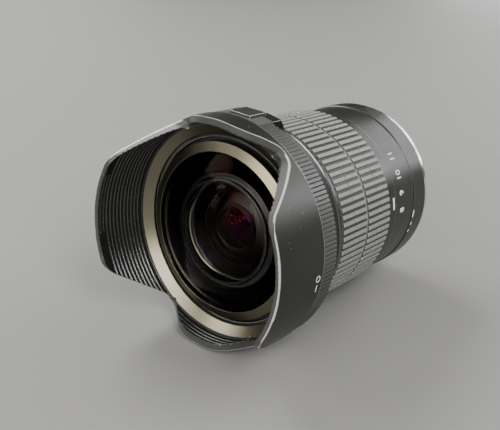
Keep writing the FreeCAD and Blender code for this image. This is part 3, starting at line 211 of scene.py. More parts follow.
# %% Dim world
WORLD_GREY = (0.80, 0.80, 0.79, 1)
WORLD_STRENGTH = 0.04


def light_world():
    world = bpy.data.worlds.new("studio_world")
    world.use_nodes = True
    background = world.node_tree.nodes["Background"]
    background.inputs["Color"].default_value = WORLD_GREY
    background.inputs["Strength"].default_value = WORLD_STRENGTH
    bpy.context.scene.world = world


light_world()
print("world strength", WORLD_STRENGTH)

# %% [markdown]
# ## Starting a finish
# Each finish is a small tree of shader nodes on Blender's main shader. The nodes could be
# added and linked one by one, but a few helpers keep every tree as short as the idea behind
# it: start a finish, add a node with its inputs, and feed a result to the shader. Textures
# read the object's own coordinates, in metres, so a finish keeps its real scale and moves
# with its piece.

# %% Start a finish
def start_finish(name, colour, roughness, metallic=0.0):
    """Start a material with plain values; what is fed in later takes their place."""
    material = bpy.data.materials.new(name)
    material.use_nodes = True
    shader = material.node_tree.nodes["Principled BSDF"]
    shader.inputs["Base Color"].default_value = (*colour, 1)
    shader.inputs["Roughness"].default_value = roughness
    shader.inputs["Metallic"].default_value = metallic
    return material, shader


def add_node(material, kind, inputs=None, **settings):
    """Add a node; an input is another node's socket, to link, or a plain value."""
    made = material.node_tree.nodes.new(kind)
    for name, value in settings.items():
        setattr(made, name, value)
    for key, value in (inputs or {}).items():
        if isinstance(value, bpy.types.NodeSocket):
            material.node_tree.links.new(value, made.inputs[key])
        else:
            made.inputs[key].default_value = value
    return made


def feed(material, source, shader, name):
    material.node_tree.links.new(source, shader.inputs[name])


def own_place(material):
    return add_node(material, "ShaderNodeTexCoord").outputs["Object"]


print("finish starters ready")

# %% [markdown]
# ## Masks
# A mask is a number that is one on a surface and zero off it. It is made by comparing a
# measure, such as the distance from the axis, with a limit, and masks are joined by
# multiplying them. Painted masks would need an unwrapped mesh and a picture for every piece.
# Comparing measures needs neither, and the edges stay sharp at any distance.

# %% Masks
def maths(material, operation, first, second):
    inputs = {0: first, 1: second}
    return add_node(material, "ShaderNodeMath", inputs, operation=operation).outputs[0]


def above(material, value, limit):
    return maths(material, "GREATER_THAN", value, limit)


def below(material, value, limit):
    return maths(material, "LESS_THAN", value, limit)


def both(material, *masks):
    """One where every mask is one."""
    joined = masks[0]
    for mask in masks[1:]:
        joined = maths(material, "MULTIPLY", joined, mask)
    return joined


def nudge(material, value, mask, amount):
    """Change a value by some amount where the mask is one."""
    return maths(material, "ADD", value, maths(material, "MULTIPLY", mask, amount))


print("mask helpers ready")

# %% [markdown]
# ## Clouds
# No real surface is the same all over: its colour and its gloss drift a little from place
# to place. A picture of a surface could bring that in, but its edges and repeats would
# show, so clouds of noise do it, spread over a narrow range.

# %% Clouds
def spread(material, source, low, high, out_low=0.0, out_high=1.0):
    """Stretch a range of numbers onto another range, and stop at its ends."""
    inputs = {0: source, 1: low, 2: high, 3: out_low, 4: out_high}
    return add_node(material, "ShaderNodeMapRange", inputs).outputs[0]


def noise(material, place, scale, detail=3.0):
    """A cloud, mostly from 0.3 to 0.7; the scale is about its number of lumps to a metre."""
    inputs = {"Vector": place, "Scale": scale, "Detail": detail, "Roughness": 0.5}
    return add_node(material, "ShaderNodeTexNoise", inputs).outputs["Fac"]


def cloudy(material, cloud, low, high):
    """Spread a cloud over a range of values."""
    return spread(material, cloud, 0.3, 0.7, low, high)


print("cloud helpers ready")

# %% [markdown]
# ## Mixing colours
# Two colours are mixed by a share, which may be a mask or a cloud. The same node can mix
# numbers and directions too, and has a pair of sockets for each kind, so the colours go to
# the pair that is meant for them.

# %% Mix colours
COLOUR_SOCKETS = (6, 7)
COLOUR_RESULT = 2


def mix(material, share, first, second):
    """Mix two colours, each a socket or its red, green and blue."""
    inputs = {0: share}
    for index, colour in zip(COLOUR_SOCKETS, (first, second)):
        linked = isinstance(colour, bpy.types.NodeSocket)
        inputs[index] = colour if linked else (*colour, 1)
    made = add_node(material, "ShaderNodeMix", inputs, data_type="RGBA")
    return made.outputs[COLOUR_RESULT]


print("colour mixer ready")

# %% [markdown]
# ## Soft edges and grain
# No real edge is perfectly sharp: moulds and cutters leave a small radius that catches the
# light, and hands polish it. Rounding every edge of the solids would cost thousands of
# faces, so the Bevel node bends the shading near an edge instead. Where its direction parts
# from the flat face's, there is an edge, and that also tells a finish where to paint a pale
# highlight or glint along it.

# %% Soft edges and grain
def vector_maths(material, operation, first, second=(0, 0, 0)):
    inputs = {0: first, 1: second}
    return add_node(material, "ShaderNodeVectorMath", inputs, operation=operation)


def agreement(material, first, second):
    """One where two directions are the same, and less the more they part."""
    return vector_maths(material, "DOT_PRODUCT", first, second).outputs["Value"]


def round_edges(material, radius):
    """Directions that round every sharp edge by a radius, as a mould or a cutter does."""
    return add_node(material, "ShaderNodeBevel", {"Radius": radius}, samples=6).outputs["Normal"]


def edge_mask(material, rounded, low, high):
    """One along sharp edges and zero on flat faces; the limits set how far a painted highlight
    reaches.
    """
    flat = add_node(material, "ShaderNodeNewGeometry").outputs["True Normal"]
    return spread(material, agreement(material, rounded, flat), low, high, 1.0, 0.0)


def grain(material, shader, height, depth, strength, normal=None):
    """Press a fine pattern into the surface, to a depth in metres."""
    inputs = {"Height": height, "Distance": depth, "Strength": strength}
    if normal is not None:
        inputs["Normal"] = normal
    bump = add_node(material, "ShaderNodeBump", inputs)
    feed(material, bump.outputs["Normal"], shader, "Normal")


print("edge helpers ready")

# %% [markdown]
# ## Dust
# A lens that has been handled carries a few pale specks. They could be scattered as tiny
# meshes, but they have no height that shows, so they are colour alone: the middles of the
# cells of a cell texture, kept only where a slow cloud is high.

# %% Dust
SPECK_CELLS = 420.0
SPECK_SIZE = 0.055
SPECK_PATCHES = 160.0
SPECK_COLOUR = (0.42, 0.42, 0.40)


def dusted(material, place, base, amount):
    """Scatter small pale specks over a colour."""
    inputs = {"Vector": place, "Scale": SPECK_CELLS}
    cells = add_node(material, "ShaderNodeTexVoronoi", inputs).outputs["Distance"]
    speck = below(material, cells, SPECK_SIZE)
    patch = above(material, noise(material, place, SPECK_PATCHES), 1.0 - amount)
    return mix(material, both(material, speck, patch), base, SPECK_COLOUR)


print("dust ready")

# %% [markdown]
# ## Black barrel
# The fixed rings of the barrel are machined metal, anodised satin black. Plain black paint
# would look like plastic film, so a very fine grain and a slow drift in roughness break up
# its sheen. The pale lines between the rings are painted highlights: a pale grey mixed in
# along every sharp edge, where the roughness is also a little lower.

# %% Black barrel finish
BARREL_DARK = (0.009, 0.009, 0.008)
BARREL_LIGHT = (0.014, 0.014, 0.012)
# Colour of the painted highlight along the rings' edges.
BARREL_EDGE_HIGHLIGHT = (0.50, 0.50, 0.48)
BARREL_EDGE = 0.35 * MM
BARREL_GLOSS = 0.34
EDGE_HIGHLIGHT_SMOOTHER = -0.15


def black_barrel():
    material, shader = start_finish("black_anodised_barrel", (0.013, 0.013, 0.012), 0.36)
    place = own_place(material)
    rounded = round_edges(material, BARREL_EDGE)
    # Painted highlight: pale grey along the sharp edges of the rings.
    edge_highlight = edge_mask(material, rounded, 0.80, 0.97)
    tone = mix(material, noise(material, place, 60.0), BARREL_DARK, BARREL_LIGHT)
    tone = mix(material, edge_highlight, tone, BARREL_EDGE_HIGHLIGHT)
    feed(material, dusted(material, place, tone, 0.40), shader, "Base Color")
    rough = cloudy(material, noise(material, place, 90.0), 0.30, 0.40)
    feed(material, nudge(material, rough, edge_highlight, EDGE_HIGHLIGHT_SMOOTHER), shader, "Roughness")
    grain(material, shader, noise(material, place, 5200.0, 2.0), 0.02 * MM, 0.5, rounded)
    shader.inputs["Specular IOR Level"].default_value = BARREL_GLOSS
    return material


barrel_black = black_barrel()
print("made", barrel_black.name)

# %% [markdown]
# ## Matt black
# Cells, the guide tube and the light baffle are blackened so that they send no stray light
# to the picture, and the contact block and the iris blades are matt black too. One function
# makes them all, because they differ only in how black and how dull they are.

# %% Matt black finishes
MATT_EDGE = 0.2 * MM


def matt_black(name, tone, roughness):
    material, shader = start_finish(name, (tone, tone, tone * 0.95), roughness)
    place = own_place(material)
    low = tone * 0.8
    high = tone * 1.3
    cloud = noise(material, place, 300.0)
    colour = mix(material, cloud, (low, low, low), (high, high, high * 0.95))
    feed(material, colour, shader, "Base Color")
    rounded = round_edges(material, MATT_EDGE)
    grain(material, shader, noise(material, place, 4000.0, 2.0), 0.02 * MM, 0.6, rounded)
    return material


cell_black = matt_black("blackened_cell", 0.010, 0.40)
contact_black = matt_black("moulded_contact_black", 0.016, 0.45)
blade_black = matt_black("blackened_blade_steel", 0.02, 0.5)
print("made", cell_black.name, contact_black.name, blade_black.name)

# %% [markdown]
# ## Champagne satin
# Two rings frame the front glass: the sloping band at the bottom of the hood's funnel and
# the ring that holds the glass. Both have a satin champagne finish, brushed round the axis.
# The brushing could be thousands of scratches, but at this distance it is only a drift in
# colour and roughness, so one noise that is squeezed along the axis stands for it.

# %% Champagne satin
BRUSHED_ROUND = (1, 30, 1)


def champagne(material, place, dark, bright):
    """Colour and roughness of a satin finish that is brushed round the axis."""
    squeezed = vector_maths(material, "MULTIPLY", place, BRUSHED_ROUND).outputs[0]
    streaks = noise(material, squeezed, 700.0, 4.0)
    return mix(material, streaks, dark, bright), cloudy(material, streaks, 0.28, 0.33)


print("champagne satin ready")

# %% [markdown]
# ## Measures round the axis
# A lens is round, so its finishes change with the distance from the optical axis, with the
# place along it, and with how far a surface faces away from it. The distance and the
# direction both come from the place with its part along the axis set to zero. Separate
# patches of faces could carry the finishes too, but they would be lost each time the solid
# model is made anew.

# %% Measures round the axis
ACROSS_AXIS = (1, 0, 1)
DIRECTION_SOCKETS = (4, 5)
DIRECTION_RESULT = 1


def across_axis(material, place):
    return vector_maths(material, "MULTIPLY", place, ACROSS_AXIS).outputs[0]


def axis_radius(material, place):
    return vector_maths(material, "LENGTH", across_axis(material, place)).outputs["Value"]


def along_axis(material, vector):
    return add_node(material, "ShaderNodeSeparateXYZ", {0: vector}).outputs["Y"]


def radial_normal(material, place):
    """The world direction straight away from the optical axis."""
    inputs = {0: across_axis(material, place)}
    settings = {"vector_type": "NORMAL", "convert_from": "OBJECT", "convert_to": "WORLD"}
    return add_node(material, "ShaderNodeVectorTransform", inputs, **settings).outputs[0]


def blend_normals(material, share, first, second):
    """Go from the first direction to the second by a share."""
    inputs = {0: share, DIRECTION_SOCKETS[0]: first, DIRECTION_SOCKETS[1]: second}
    made = add_node(material, "ShaderNodeMix", inputs, data_type="VECTOR")
    return made.outputs[DIRECTION_RESULT]


def between(material, value, low, high):
    return both(material, above(material, value, low), below(material, value, high))


def flip(material, mask):
    return maths(material, "SUBTRACT", 1.0, mask)


print("axis measures ready")

# %% [markdown]
# ## The hood's knurl and funnel
# The hood is one solid of the model with several looks: a champagne band, a ribbed funnel,
# a rim, a knurl and a skirt. Separate pieces could carry separate materials, but one finish
# can tell them apart by place and by the way they face, and leaves the solid whole. The
# lean is how far a surface faces away from the axis: one outside, minus one on the ribs'
# tops inside the funnel. What looks forward has a direction of less than zero along the
# axis. Knurl and funnel come first, because they are the busiest.

# %% Knurl and funnel of the hood
KNURL_FRONT = glass_plane + 3.0 * MM
KNURL_CREST = 40.90 * MM
KNURL_ROOT = KNURL_CREST - 1.2 * MM
GROOVE_START = KNURL_CREST - 0.50 * MM
GROOVE_END = KNURL_CREST - 0.40 * MM
RIM_INNER = 39.95 * MM
RIM_FACE = RIM_INNER - 0.9 * MM
RIB_LEAN = -0.93
RIM_LEAN = -0.25
FACET_AHEAD = -0.30
RIM_AHEAD = -0.35


def knurl_places(material, along, radius):
    """The knurl, its grooves and the lands between them."""
    knurl = between(material, along, KNURL_FRONT, KNURL_REAR)
    low = spread(material, radius, GROOVE_START, GROOVE_END, 1.0, 0.0)
    land = both(material, knurl, flip(material, low), above(material, radius, KNURL_ROOT))
    return {"knurl": knurl, "groove": both(material, knurl, low), "land": land}


def funnel_places(material, front, radius, lean, ahead):
    """The ribs' tops, their facets that look forward, and the rim."""
    funnel = both(material, below(material, radius, RIM_INNER), front)
    facet = both(material, funnel, between(material, lean, RIB_LEAN, RIM_LEAN),
                 below(material, ahead, FACET_AHEAD))
    rim = both(material, below(material, ahead, RIM_AHEAD), front,
               above(material, radius, RIM_FACE), above(material, lean, RIM_LEAN))
    rib = both(material, below(material, lean, RIB_LEAN), funnel)
    return {"rib": rib, "facet": facet, "rim": rim}


print("knurl and funnel ready")

# %% [markdown]
# ## The hood's other surfaces
# A pale highlight is painted along the hood's outer edges and the shoulder of its rim. The
# band is what lies inside its outer radius and in front of its rear edge. The skirt runs
# back from the knurl and ends in a rounded edge that takes over gradually. All masks are
# kept together by name, so that the finish can say which surface it means.

# %% Other surfaces of the hood
FUNNEL_REAR = KNURL_FRONT - 0.3 * MM
RIM_OUTER = 40.72 * MM
BAND_RADIUS = 37.65 * MM
BAND_REAR = glass_plane + 3.5 * MM
SKIRT_EDGE_START = KNURL_REAR + 6.6 * MM
SKIRT_EDGE_END = KNURL_REAR + 7.6 * MM


def edge_highlight_places(material, front, knurl, radius, lean, rounded):
    """The outer edges and the rim's shoulder, where a pale highlight is painted."""
    outside = both(material, above(material, radius, RIM_INNER), flip(material, knurl))
    edges = both(material, edge_mask(material, rounded, 0.90, 0.99), outside)
    shoulder = between(material, lean, 0.30, 0.93)
    shoulder = both(material, shoulder, above(material, radius, RIM_OUTER), front)
    return maths(material, "MAXIMUM", edges, shoulder)


def hood_places(material, place, rounded, outward):
    """Masks of the hood's surfaces, by name."""
    along = along_axis(material, place)
    radius = axis_radius(material, place)
    lean = agreement(material, rounded, outward)
    front = below(material, along, FUNNEL_REAR)
    on = knurl_places(material, along, radius)
    on.update(funnel_places(material, front, radius, lean, along_axis(material, rounded)))
    on["edge highlight"] = edge_highlight_places(material, front, on["knurl"], radius, lean, rounded)
    near = below(material, radius, BAND_RADIUS)
    on["band"] = both(material, near, below(material, along, BAND_REAR))
    on["skirt edge"] = spread(material, along, SKIRT_EDGE_START, SKIRT_EDGE_END)
    behind = above(material, along, KNURL_REAR)
    on["skirt"] = both(material, behind, flip(material, on["skirt edge"]))
    return on


print("hood's surfaces ready")

# %% [markdown]
# ## The hood's colours
# The shell is black plastic, with a painted highlight along its outer edges and the rim's
# shoulder. The knurl's grooves are painted darker as shade and its lands paler as lit, and
# the rim's face is greyer than the rest. Each could be mixed in a line of its own, but a
# table from surface to tone is easier to read and to change.

# %% Colours of the hood
HOOD_DARK = (0.010, 0.010, 0.009)
HOOD_LIGHT = (0.016, 0.016, 0.014)

# Where two surfaces meet, the later tone covers the earlier one.
HOOD_TONES = {
    # The grooves' tone is painted shade, and the lands' tone is painted light.
    "groove": (0.002, 0.002, 0.002),
    "land": (0.075, 0.075, 0.072),
    "rib": (0.009, 0.009, 0.008),
    "rim": (0.045, 0.045, 0.043),
    # A painted highlight along the outer edges and the rim's shoulder.
    "edge highlight": (0.42, 0.42, 0.40),
}


def hood_colour(material, place, on):
    tone = mix(material, noise(material, place, 70.0), HOOD_DARK, HOOD_LIGHT)
    for surface, colour in HOOD_TONES.items():
        tone = mix(material, on[surface], tone, colour)
    return dusted(material, place, tone, 0.45)


print("hood tones:", len(HOOD_TONES))

# %% [markdown]
# ## Hood
# The shell has a fine moulded grain and is smoother where the edge highlight is painted.
# The ribs' facets are glossy, so that they draw bright lines low on the left petal. The
# skirt is dull next to the knurl and shines only along its rear edge, as one thin line. One
# roughness for the whole hood would be simpler, but then all of it would shine alike.

# %% Hood finish
BAND_DARK = (0.175, 0.158, 0.112)
BAND_BRIGHT = (0.205, 0.186, 0.136)
HOOD_EDGE = 0.45 * MM
SHELL_GLOSS = 0.3
FACET_GLOSS = 1.0


def hood_roughness(material, place, on, satin_rough):
    rough = cloudy(material, noise(material, place, 900.0), 0.37, 0.41)
    polished = maths(material, "MAXIMUM", on["edge highlight"], on["skirt edge"])
    for mask, change in ((on["skirt"], 0.15), (polished, -0.20), (on["facet"], -0.12)):
        rough = nudge(material, rough, mask, change)
    to_satin = maths(material, "SUBTRACT", satin_rough, rough)
    return nudge(material, rough, on["band"], to_satin)


def hood_gloss(material, on):
    gloss = spread(material, on["facet"], 0.0, 1.0, SHELL_GLOSS, FACET_GLOSS)
    return nudge(material, gloss, on["skirt"], -0.25)


def hood_finish():
    material, shader = start_finish("hood_moulding", (0.02, 0.02, 0.019), 0.5)
    place = own_place(material)
    rounded = round_edges(material, HOOD_EDGE)
    outward = radial_normal(material, place)
    on = hood_places(material, place, rounded, outward)
    satin, satin_rough = champagne(material, place, BAND_DARK, BAND_BRIGHT)
    colour = mix(material, on["band"], hood_colour(material, place, on), satin)
    feed(material, colour, shader, "Base Color")
    feed(material, on["band"], shader, "Metallic")
    feed(material, hood_roughness(material, place, on, satin_rough), shader, "Roughness")
    feed(material, hood_gloss(material, on), shader, "Specular IOR Level")
    height = both(material, noise(material, place, 3600.0, 2.0), flip(material, on["band"]))
    facing = blend_normals(material, on["land"], rounded, outward)
    grain(material, shader, height, 0.03 * MM, 0.6, facing)
    return material


hood_moulding = hood_finish()
print("made", hood_moulding.name)

# %% [markdown]
# ## Satin ring
# The ring that holds the front glass has the same champagne finish, a little deeper. Its
# bore is blackened against stray light, and a pale highlight is painted along its fine
# edges, which gives the thin line round the glass. The lean tells the bore from the face, as
# it does on the hood.

# %% Satin ring finish
RING_DARK = (0.145, 0.13, 0.09)
RING_BRIGHT = (0.175, 0.157, 0.11)
BORE_BLACK = (0.012, 0.012, 0.010)
# Colour of the painted highlight along the ring's fine edges.
RING_EDGE_HIGHLIGHT = (0.62, 0.60, 0.54)
RING_EDGE = 0.2 * MM


def satin_ring():
    material, shader = start_finish("satin_champagne_ring", (0.4, 0.37, 0.3), 0.35, 1.0)
    place = own_place(material)
    colour, rough = champagne(material, place, RING_DARK, RING_BRIGHT)
    rounded = round_edges(material, RING_EDGE)
    lean = agreement(material, rounded, radial_normal(material, place))
    bore = spread(material, lean, -0.75, -0.60, 1.0, 0.0)
    colour = mix(material, bore, colour, BORE_BLACK)
    # Painted highlight along the fine edges, at six tenths strength.
    edge_highlight = maths(material, "MULTIPLY", edge_mask(material, rounded, 0.75, 0.95), 0.6)
    feed(material, mix(material, edge_highlight, colour, RING_EDGE_HIGHLIGHT), shader, "Base Color")
    feed(material, rough, shader, "Roughness")
    feed(material, rounded, shader, "Normal")
    return material


bezel_satin = satin_ring()
print("made", bezel_satin.name)

# %% [markdown]
# ## Rubber grips
# The bars' crests are painted grey as lit and the valleys near black as shade. Two
# materials on two sets of faces would do it too, but the distance from the optical axis
# already tells crest from valley. The bars' front corners get small painted glints, paler
# still.

# %% Rubber finish
# Painted shade in the valleys and painted light on the crests.
SHADED_VALLEY_DARK = (0.004, 0.004, 0.004)
SHADED_VALLEY_LIGHT = (0.007, 0.007, 0.007)
LIT_CREST_DARK = (0.19, 0.19, 0.183)
LIT_CREST_LIGHT = (0.27, 0.27, 0.26)
GLINT_WHITE = (0.85, 0.85, 0.82)
CREST_START = grip_radius - 0.7 * MM
CREST_FULL = grip_radius - 0.1 * MM
RUBBER_EDGE = 0.35 * MM
RUBBER_GLOSS = 0.22


def rubber():
    material, shader = start_finish("moulded_rubber", (0.03, 0.03, 0.028), 0.6)
    place = own_place(material)
    crest = spread(material, axis_radius(material, place), CREST_START, CREST_FULL)
    cloud = noise(material, place, 500.0, 4.0)
    shaded_valley = mix(material, cloud, SHADED_VALLEY_DARK, SHADED_VALLEY_LIGHT)
    tone = mix(material, crest, shaded_valley, mix(material, cloud, LIT_CREST_DARK, LIT_CREST_LIGHT))
    rounded = round_edges(material, RUBBER_EDGE)
    forward = below(material, along_axis(material, rounded), -0.2)
    # Painted glints at the bars' front corners.
    glint = both(material, edge_mask(material, rounded, 0.75, 0.95), forward, crest)
    feed(material, mix(material, glint, tone, GLINT_WHITE), shader, "Base Color")
    feed(material, cloudy(material, cloud, 0.40, 0.54), shader, "Roughness")
    shader.inputs["Specular IOR Level"].default_value = RUBBER_GLOSS
    grain(material, shader, noise(material, place, 2600.0), 0.03 * MM, 0.5, rounded)
    return material


grip_rubber = rubber()
print("made", grip_rubber.name)

# %% [markdown]
# ## Metals
# Plated brass for the mount, gold for its contacts, plain steel for screws and the motor,
# and turned brass for the cam tubes. A lathe leaves fine rings round the axis. They could
# be cut as grooves, but a noise that changes quickly with the radius and along the axis,
# and not at all round it, gives the same light for far less work.

# %% Metal finishes
def turned_rings(material, shader, place, rings):
    """Fine lathe marks; the number is about how many there are to a metre."""
    inputs = {0: axis_radius(material, place), 1: along_axis(material, place)}
    pair = add_node(material, "ShaderNodeCombineXYZ", inputs).outputs[0]
    grain(material, shader, noise(material, pair, rings, 2.0), 0.01 * MM, 0.35)


def metal(name, dark, bright, low_rough, high_rough, rings=0.0):
    material, shader = start_finish(name, bright, low_rough, 1.0)
    place = own_place(material)
    cloud = noise(material, place, 240.0, 4.0)
    feed(material, mix(material, cloud, dark, bright), shader, "Base Color")
    feed(material, cloudy(material, cloud, low_rough, high_rough), shader, "Roughness")
    if rings:
        turned_rings(material, shader, place, rings)
    return material


mount_plated = metal("plated_mount", (0.60, 0.60, 0.58), (0.74, 0.74, 0.72), 0.16, 0.26, 9000.0)
contact_gold = metal("gold_contact", (0.72, 0.52, 0.20), (0.86, 0.66, 0.28), 0.18, 0.28)
screw_steel = metal("screw_steel", (0.34, 0.34, 0.33), (0.5, 0.5, 0.48), 0.25, 0.4)
cam_brass = metal("turned_brass", (0.42, 0.32, 0.14), (0.56, 0.44, 0.21), 0.24, 0.4, 6000.0)
motor_steel = metal("motor_steel", (0.30, 0.30, 0.29), (0.42, 0.42, 0.41), 0.3, 0.45, 6000.0)
print("metals made")

# %% [markdown]
# ## Small plastics
# The cams' rollers are white acetal and the circuit board has a green lacquer. Parts and
# tracks could be drawn on the board, but both pieces sit deep inside the lens, so a drift
# in their colour is enough.

# %% Small plastics
def plain_plastic(name, colour, roughness):
    material, shader = start_finish(name, colour, roughness)
    low = tuple(part * 0.85 for part in colour)
    high = tuple(min(part * 1.15, 1) for part in colour)
    cloud = noise(material, own_place(material), 400.0)
    feed(material, mix(material, cloud, low, high), shader, "Base Color")
    return material


roller_white = plain_plastic("acetal_roller", (0.78, 0.77, 0.72), 0.4)
board_green = plain_plastic("solder_mask", (0.015, 0.12, 0.06), 0.3)
print("made", roller_white.name, board_green.name)

# %% [markdown]
# ## Lock button
# The button that frees the hood has a pale highlight painted along its rounded edges, much
# paler than its black top. An outline could be modelled as a thin strip, but a painted
# highlight that follows the rounded edges stays right when the button's size changes.

# %% Lock button finish
BUTTON_BLACK = (0.025, 0.025, 0.023)
BUTTON_EDGE_HIGHLIGHT = (0.62, 0.58, 0.48)
BUTTON_EDGE = 0.45 * MM


def button_finish():
    material, shader = start_finish("button_moulding", (0.03, 0.03, 0.028), 0.36)
    rounded = round_edges(material, BUTTON_EDGE)
    # Painted highlight along the button's rounded edges.
    edge_highlight = edge_mask(material, rounded, 0.78, 0.99)
    feed(material, mix(material, edge_highlight, BUTTON_BLACK, BUTTON_EDGE_HIGHLIGHT), shader, "Base Color")
    feed(material, rounded, shader, "Normal")
    return material


button_black = button_finish()
print("made", button_black.name)

# %% [markdown]
# ## Coated glass
# The elements are clear glass over black cells, so the lens looks almost black. Coatings
# cut their reflections to a fraction of plain glass's and tint what is left: orange on the
# front glass, green on the second and magenta on the third. A thin film on the shader could
# tint them too, but its colour is hard to aim. Here a low refractive index weakens the
# reflections of the first two glasses, and a tint colours them. The glass is also a little
# smoky, because a real lens has more elements than this one, and each takes some light.

# %% Glass finishes
def coated_glass(name, clear, index, glow):
    """Glass that lets a share of the light through and mirrors with a tint."""
    material, shader = start_finish(name, (clear, clear, clear), 0.0)
    shader.inputs["Transmission Weight"].default_value = 1.0
    shader.inputs["IOR"].default_value = index
    shader.inputs["Specular Tint"].default_value = (*glow, 1)
    low = clear * 0.92
    cloud = noise(material, own_place(material), 30.0)
    tint = mix(material, cloud, (low, low, low * 0.97), (clear, clear, clear * 0.97))
    feed(material, tint, shader, "Base Color")
    return material


front_coating = coated_glass("coated_front_glass", 0.86, 1.16, (0.22, 0.022, 0.004))
second_coating = coated_glass("coated_second_glass", 0.76, 1.20, (0.02, 0.06, 0.03))
third_coating = coated_glass("coated_third_glass", 0.70, 1.45, (0.70, 0.03, 0.50))
inner_coating = coated_glass("coated_inner_glass", 0.42, 1.45, (0.85, 0.80, 0.80))
print("glass made")

# %% [markdown]
# ## Finishes onto the pieces
# Every piece could be dressed by hand, but the record gives each one a slot, so one table
# from slot to finish dresses the whole lens. The three front elements then get coatings of
# their own.

# %% Dress the solid pieces
FINISHES = {
    "mount_metal": mount_plated,
    "black_metal": barrel_black,
    "cell_metal": cell_black,
    "satin_bronze": bezel_satin,
    "hood_plastic": hood_moulding,
    "button_plastic": button_black,
    "grip_rubber": grip_rubber,
    "cam_brass": cam_brass,
    "roller_plastic": roller_white,
    "optical_glass": inner_coating,
    "contact_plastic": contact_black,
    "contact_gold": contact_gold,
    "screw_steel": screw_steel,
    "board_green": board_green,
    "blade_black": blade_black,
    "motor_metal": motor_steel,
}


def dress(node, finish):
    slots = nodes[node].material_slots
    for slot in slots:
        slot.link = "OBJECT"
        slot.material = finish
    if not slots:
        nodes[node].data.materials.append(finish)


subparts = frame["record"]["subparts"]
for part in subparts:
    dress(part["node"], FINISHES[part["material_slot"]])
dress("front_element", front_coating)
dress("second_element", second_coating)
dress("third_element", third_coating)
print("dressed", len(subparts), "pieces")

# %% [markdown]
# ## Sweeping a ring
# A ring is a cross-section swept round the optical axis. Blender's Screw modifier can sweep
# one, but building the faces step by step shows how a turned part is made, and leaves a
# plain closed mesh. The cross-section's points are a radius and a depth behind the plane of
# the front glass's edge, in millimetres.

# %% Sweep a ring
RING_STEPS = 96


def turned_mesh(name, profile):
    """Sweep a closed cross-section round the optical axis."""
    points, faces, count = [], [], len(profile)
    for step in range(RING_STEPS):
        angle = 2 * math.pi * step / RING_STEPS
        for radius, depth in profile:
            place = (radius * math.cos(angle), 0, radius * math.sin(angle))
            points.append(Vector(place) * MM + Vector((0, glass_plane + depth * MM, 0)))
        here = step * count
        there = (step + 1) % RING_STEPS * count
        for index in range(count):
            after = (index + 1) % count
            faces.append((here + index, here + after, there + after, there + index))
    mesh = bpy.data.meshes.new(name)
    mesh.from_pydata(points, [], faces)
    return mesh


def face_outward(mesh):
    """Turn every face's front to the outside."""
    work = bmesh.new()
    work.from_mesh(mesh)
    bmesh.ops.recalc_face_normals(work, faces=work.faces)
    work.to_mesh(mesh)
    work.free()


print("ring helpers ready")

# %% [markdown]
# ## The cross-section of a lens mask
# Stray light is kept out by thin black masks that lie on the glasses behind the front one.
# Flat rings would be simpler, but they would cut into the domed glasses or stand off them,
# so each mask follows the dome of its glass with a hair of room and ends inward in a round
# lip. The sizes are in millimetres, as in every cross-section.

# %% Cross-section of a lens mask
MASK_ROOM = 0.06
MASK_THICKNESS = 0.25
MASK_STEPS = 6
LIP_STEPS = 12
LIP_START = 80
LIP_SWEEP = 340


def dome_depth(radius, edge_radius, edge_depth, sag):
    """Depth of a spherical surface at a radius, from its edge and its height."""
    sphere = (edge_radius ** 2 + sag ** 2) / (2 * sag)
    return edge_depth - (math.sqrt(sphere ** 2 - radius ** 2) - sphere + sag)


def mask_profile(outer, inner, dome, lip):
    """A shell on the glass's dome that ends inward in a lip of the given radius."""
    rear, front = [], []
    for step in range(MASK_STEPS + 1):
        radius = outer + (inner - outer) * step / MASK_STEPS
        depth = dome_depth(radius, *dome) - MASK_ROOM
        rear.append((radius, depth))
        front.append((radius, depth - MASK_THICKNESS))
    centre = rear[-1][1] - lip
    round_lip = []
    for step in range(LIP_STEPS + 1):
        angle = math.radians(LIP_START - LIP_SWEEP * step / LIP_STEPS)
        round_lip.append((inner + lip * math.cos(angle), centre + lip * math.sin(angle)))
    return rear + round_lip + front[::-1]


print("mask cross-section ready")

# %% [markdown]
# ## Masks between the front glasses
# The masks' rounded bores are what the photograph shows as nested rings deep in the lens.
# Black bands painted on the glass would be simpler, but only a rounded lip catches the thin
# arcs of light. The masks don't move in the barrel, so they ride on it.

# %% Lens masks
# Each glass's front dome: its edge's radius, its edge's depth and its height.
SECOND_DOME = (20.0, 5.9, 3.4)
THIRD_DOME = (14.0, 12.4, 2.6)
mask_black = matt_black("blackened_mask", 0.004, 0.32)


def add_mask(name, profile):
    mesh = turned_mesh(name, profile)
    face_outward(mesh)
    mesh.polygons.foreach_set("use_smooth", [True] * len(mesh.polygons))
    mesh.materials.append(mask_black)
    ring = bpy.data.objects.new(name, mesh)
    bpy.context.collection.objects.link(ring)
    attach(ring, "barrel")


add_mask("second_glass_mask", mask_profile(19.7, 17.4, SECOND_DOME, 0.8))
add_mask("third_glass_mask", mask_profile(13.6, 8.8, THIRD_DOME, 0.7))
print("lens masks added")

# %% [markdown]
# ## Paint on a ring
# White marks are printed on the barrel's right side, running round it. A mark could be a
# picture in the material, but that would blur up close, so each is a thin mesh. It is drawn
# flat and then wrapped on its ring, where its width becomes an angle about the optical axis
# and its height runs along the axis. It is a hair thick, so it sits on the metal like paint.

# %% Paint on a ring
PAINT = 0.05 * MM
PAINT_LIFT = PAINT * 0.6


def white_paint():
    material, shader = start_finish("white_print", (0.78, 0.78, 0.75), 0.55)
    cloud = noise(material, own_place(material), 3000.0)
    tone = mix(material, cloud, (0.66, 0.66, 0.63), (0.84, 0.84, 0.81))
    feed(material, tone, shader, "Base Color")
    return material


print_white = white_paint()


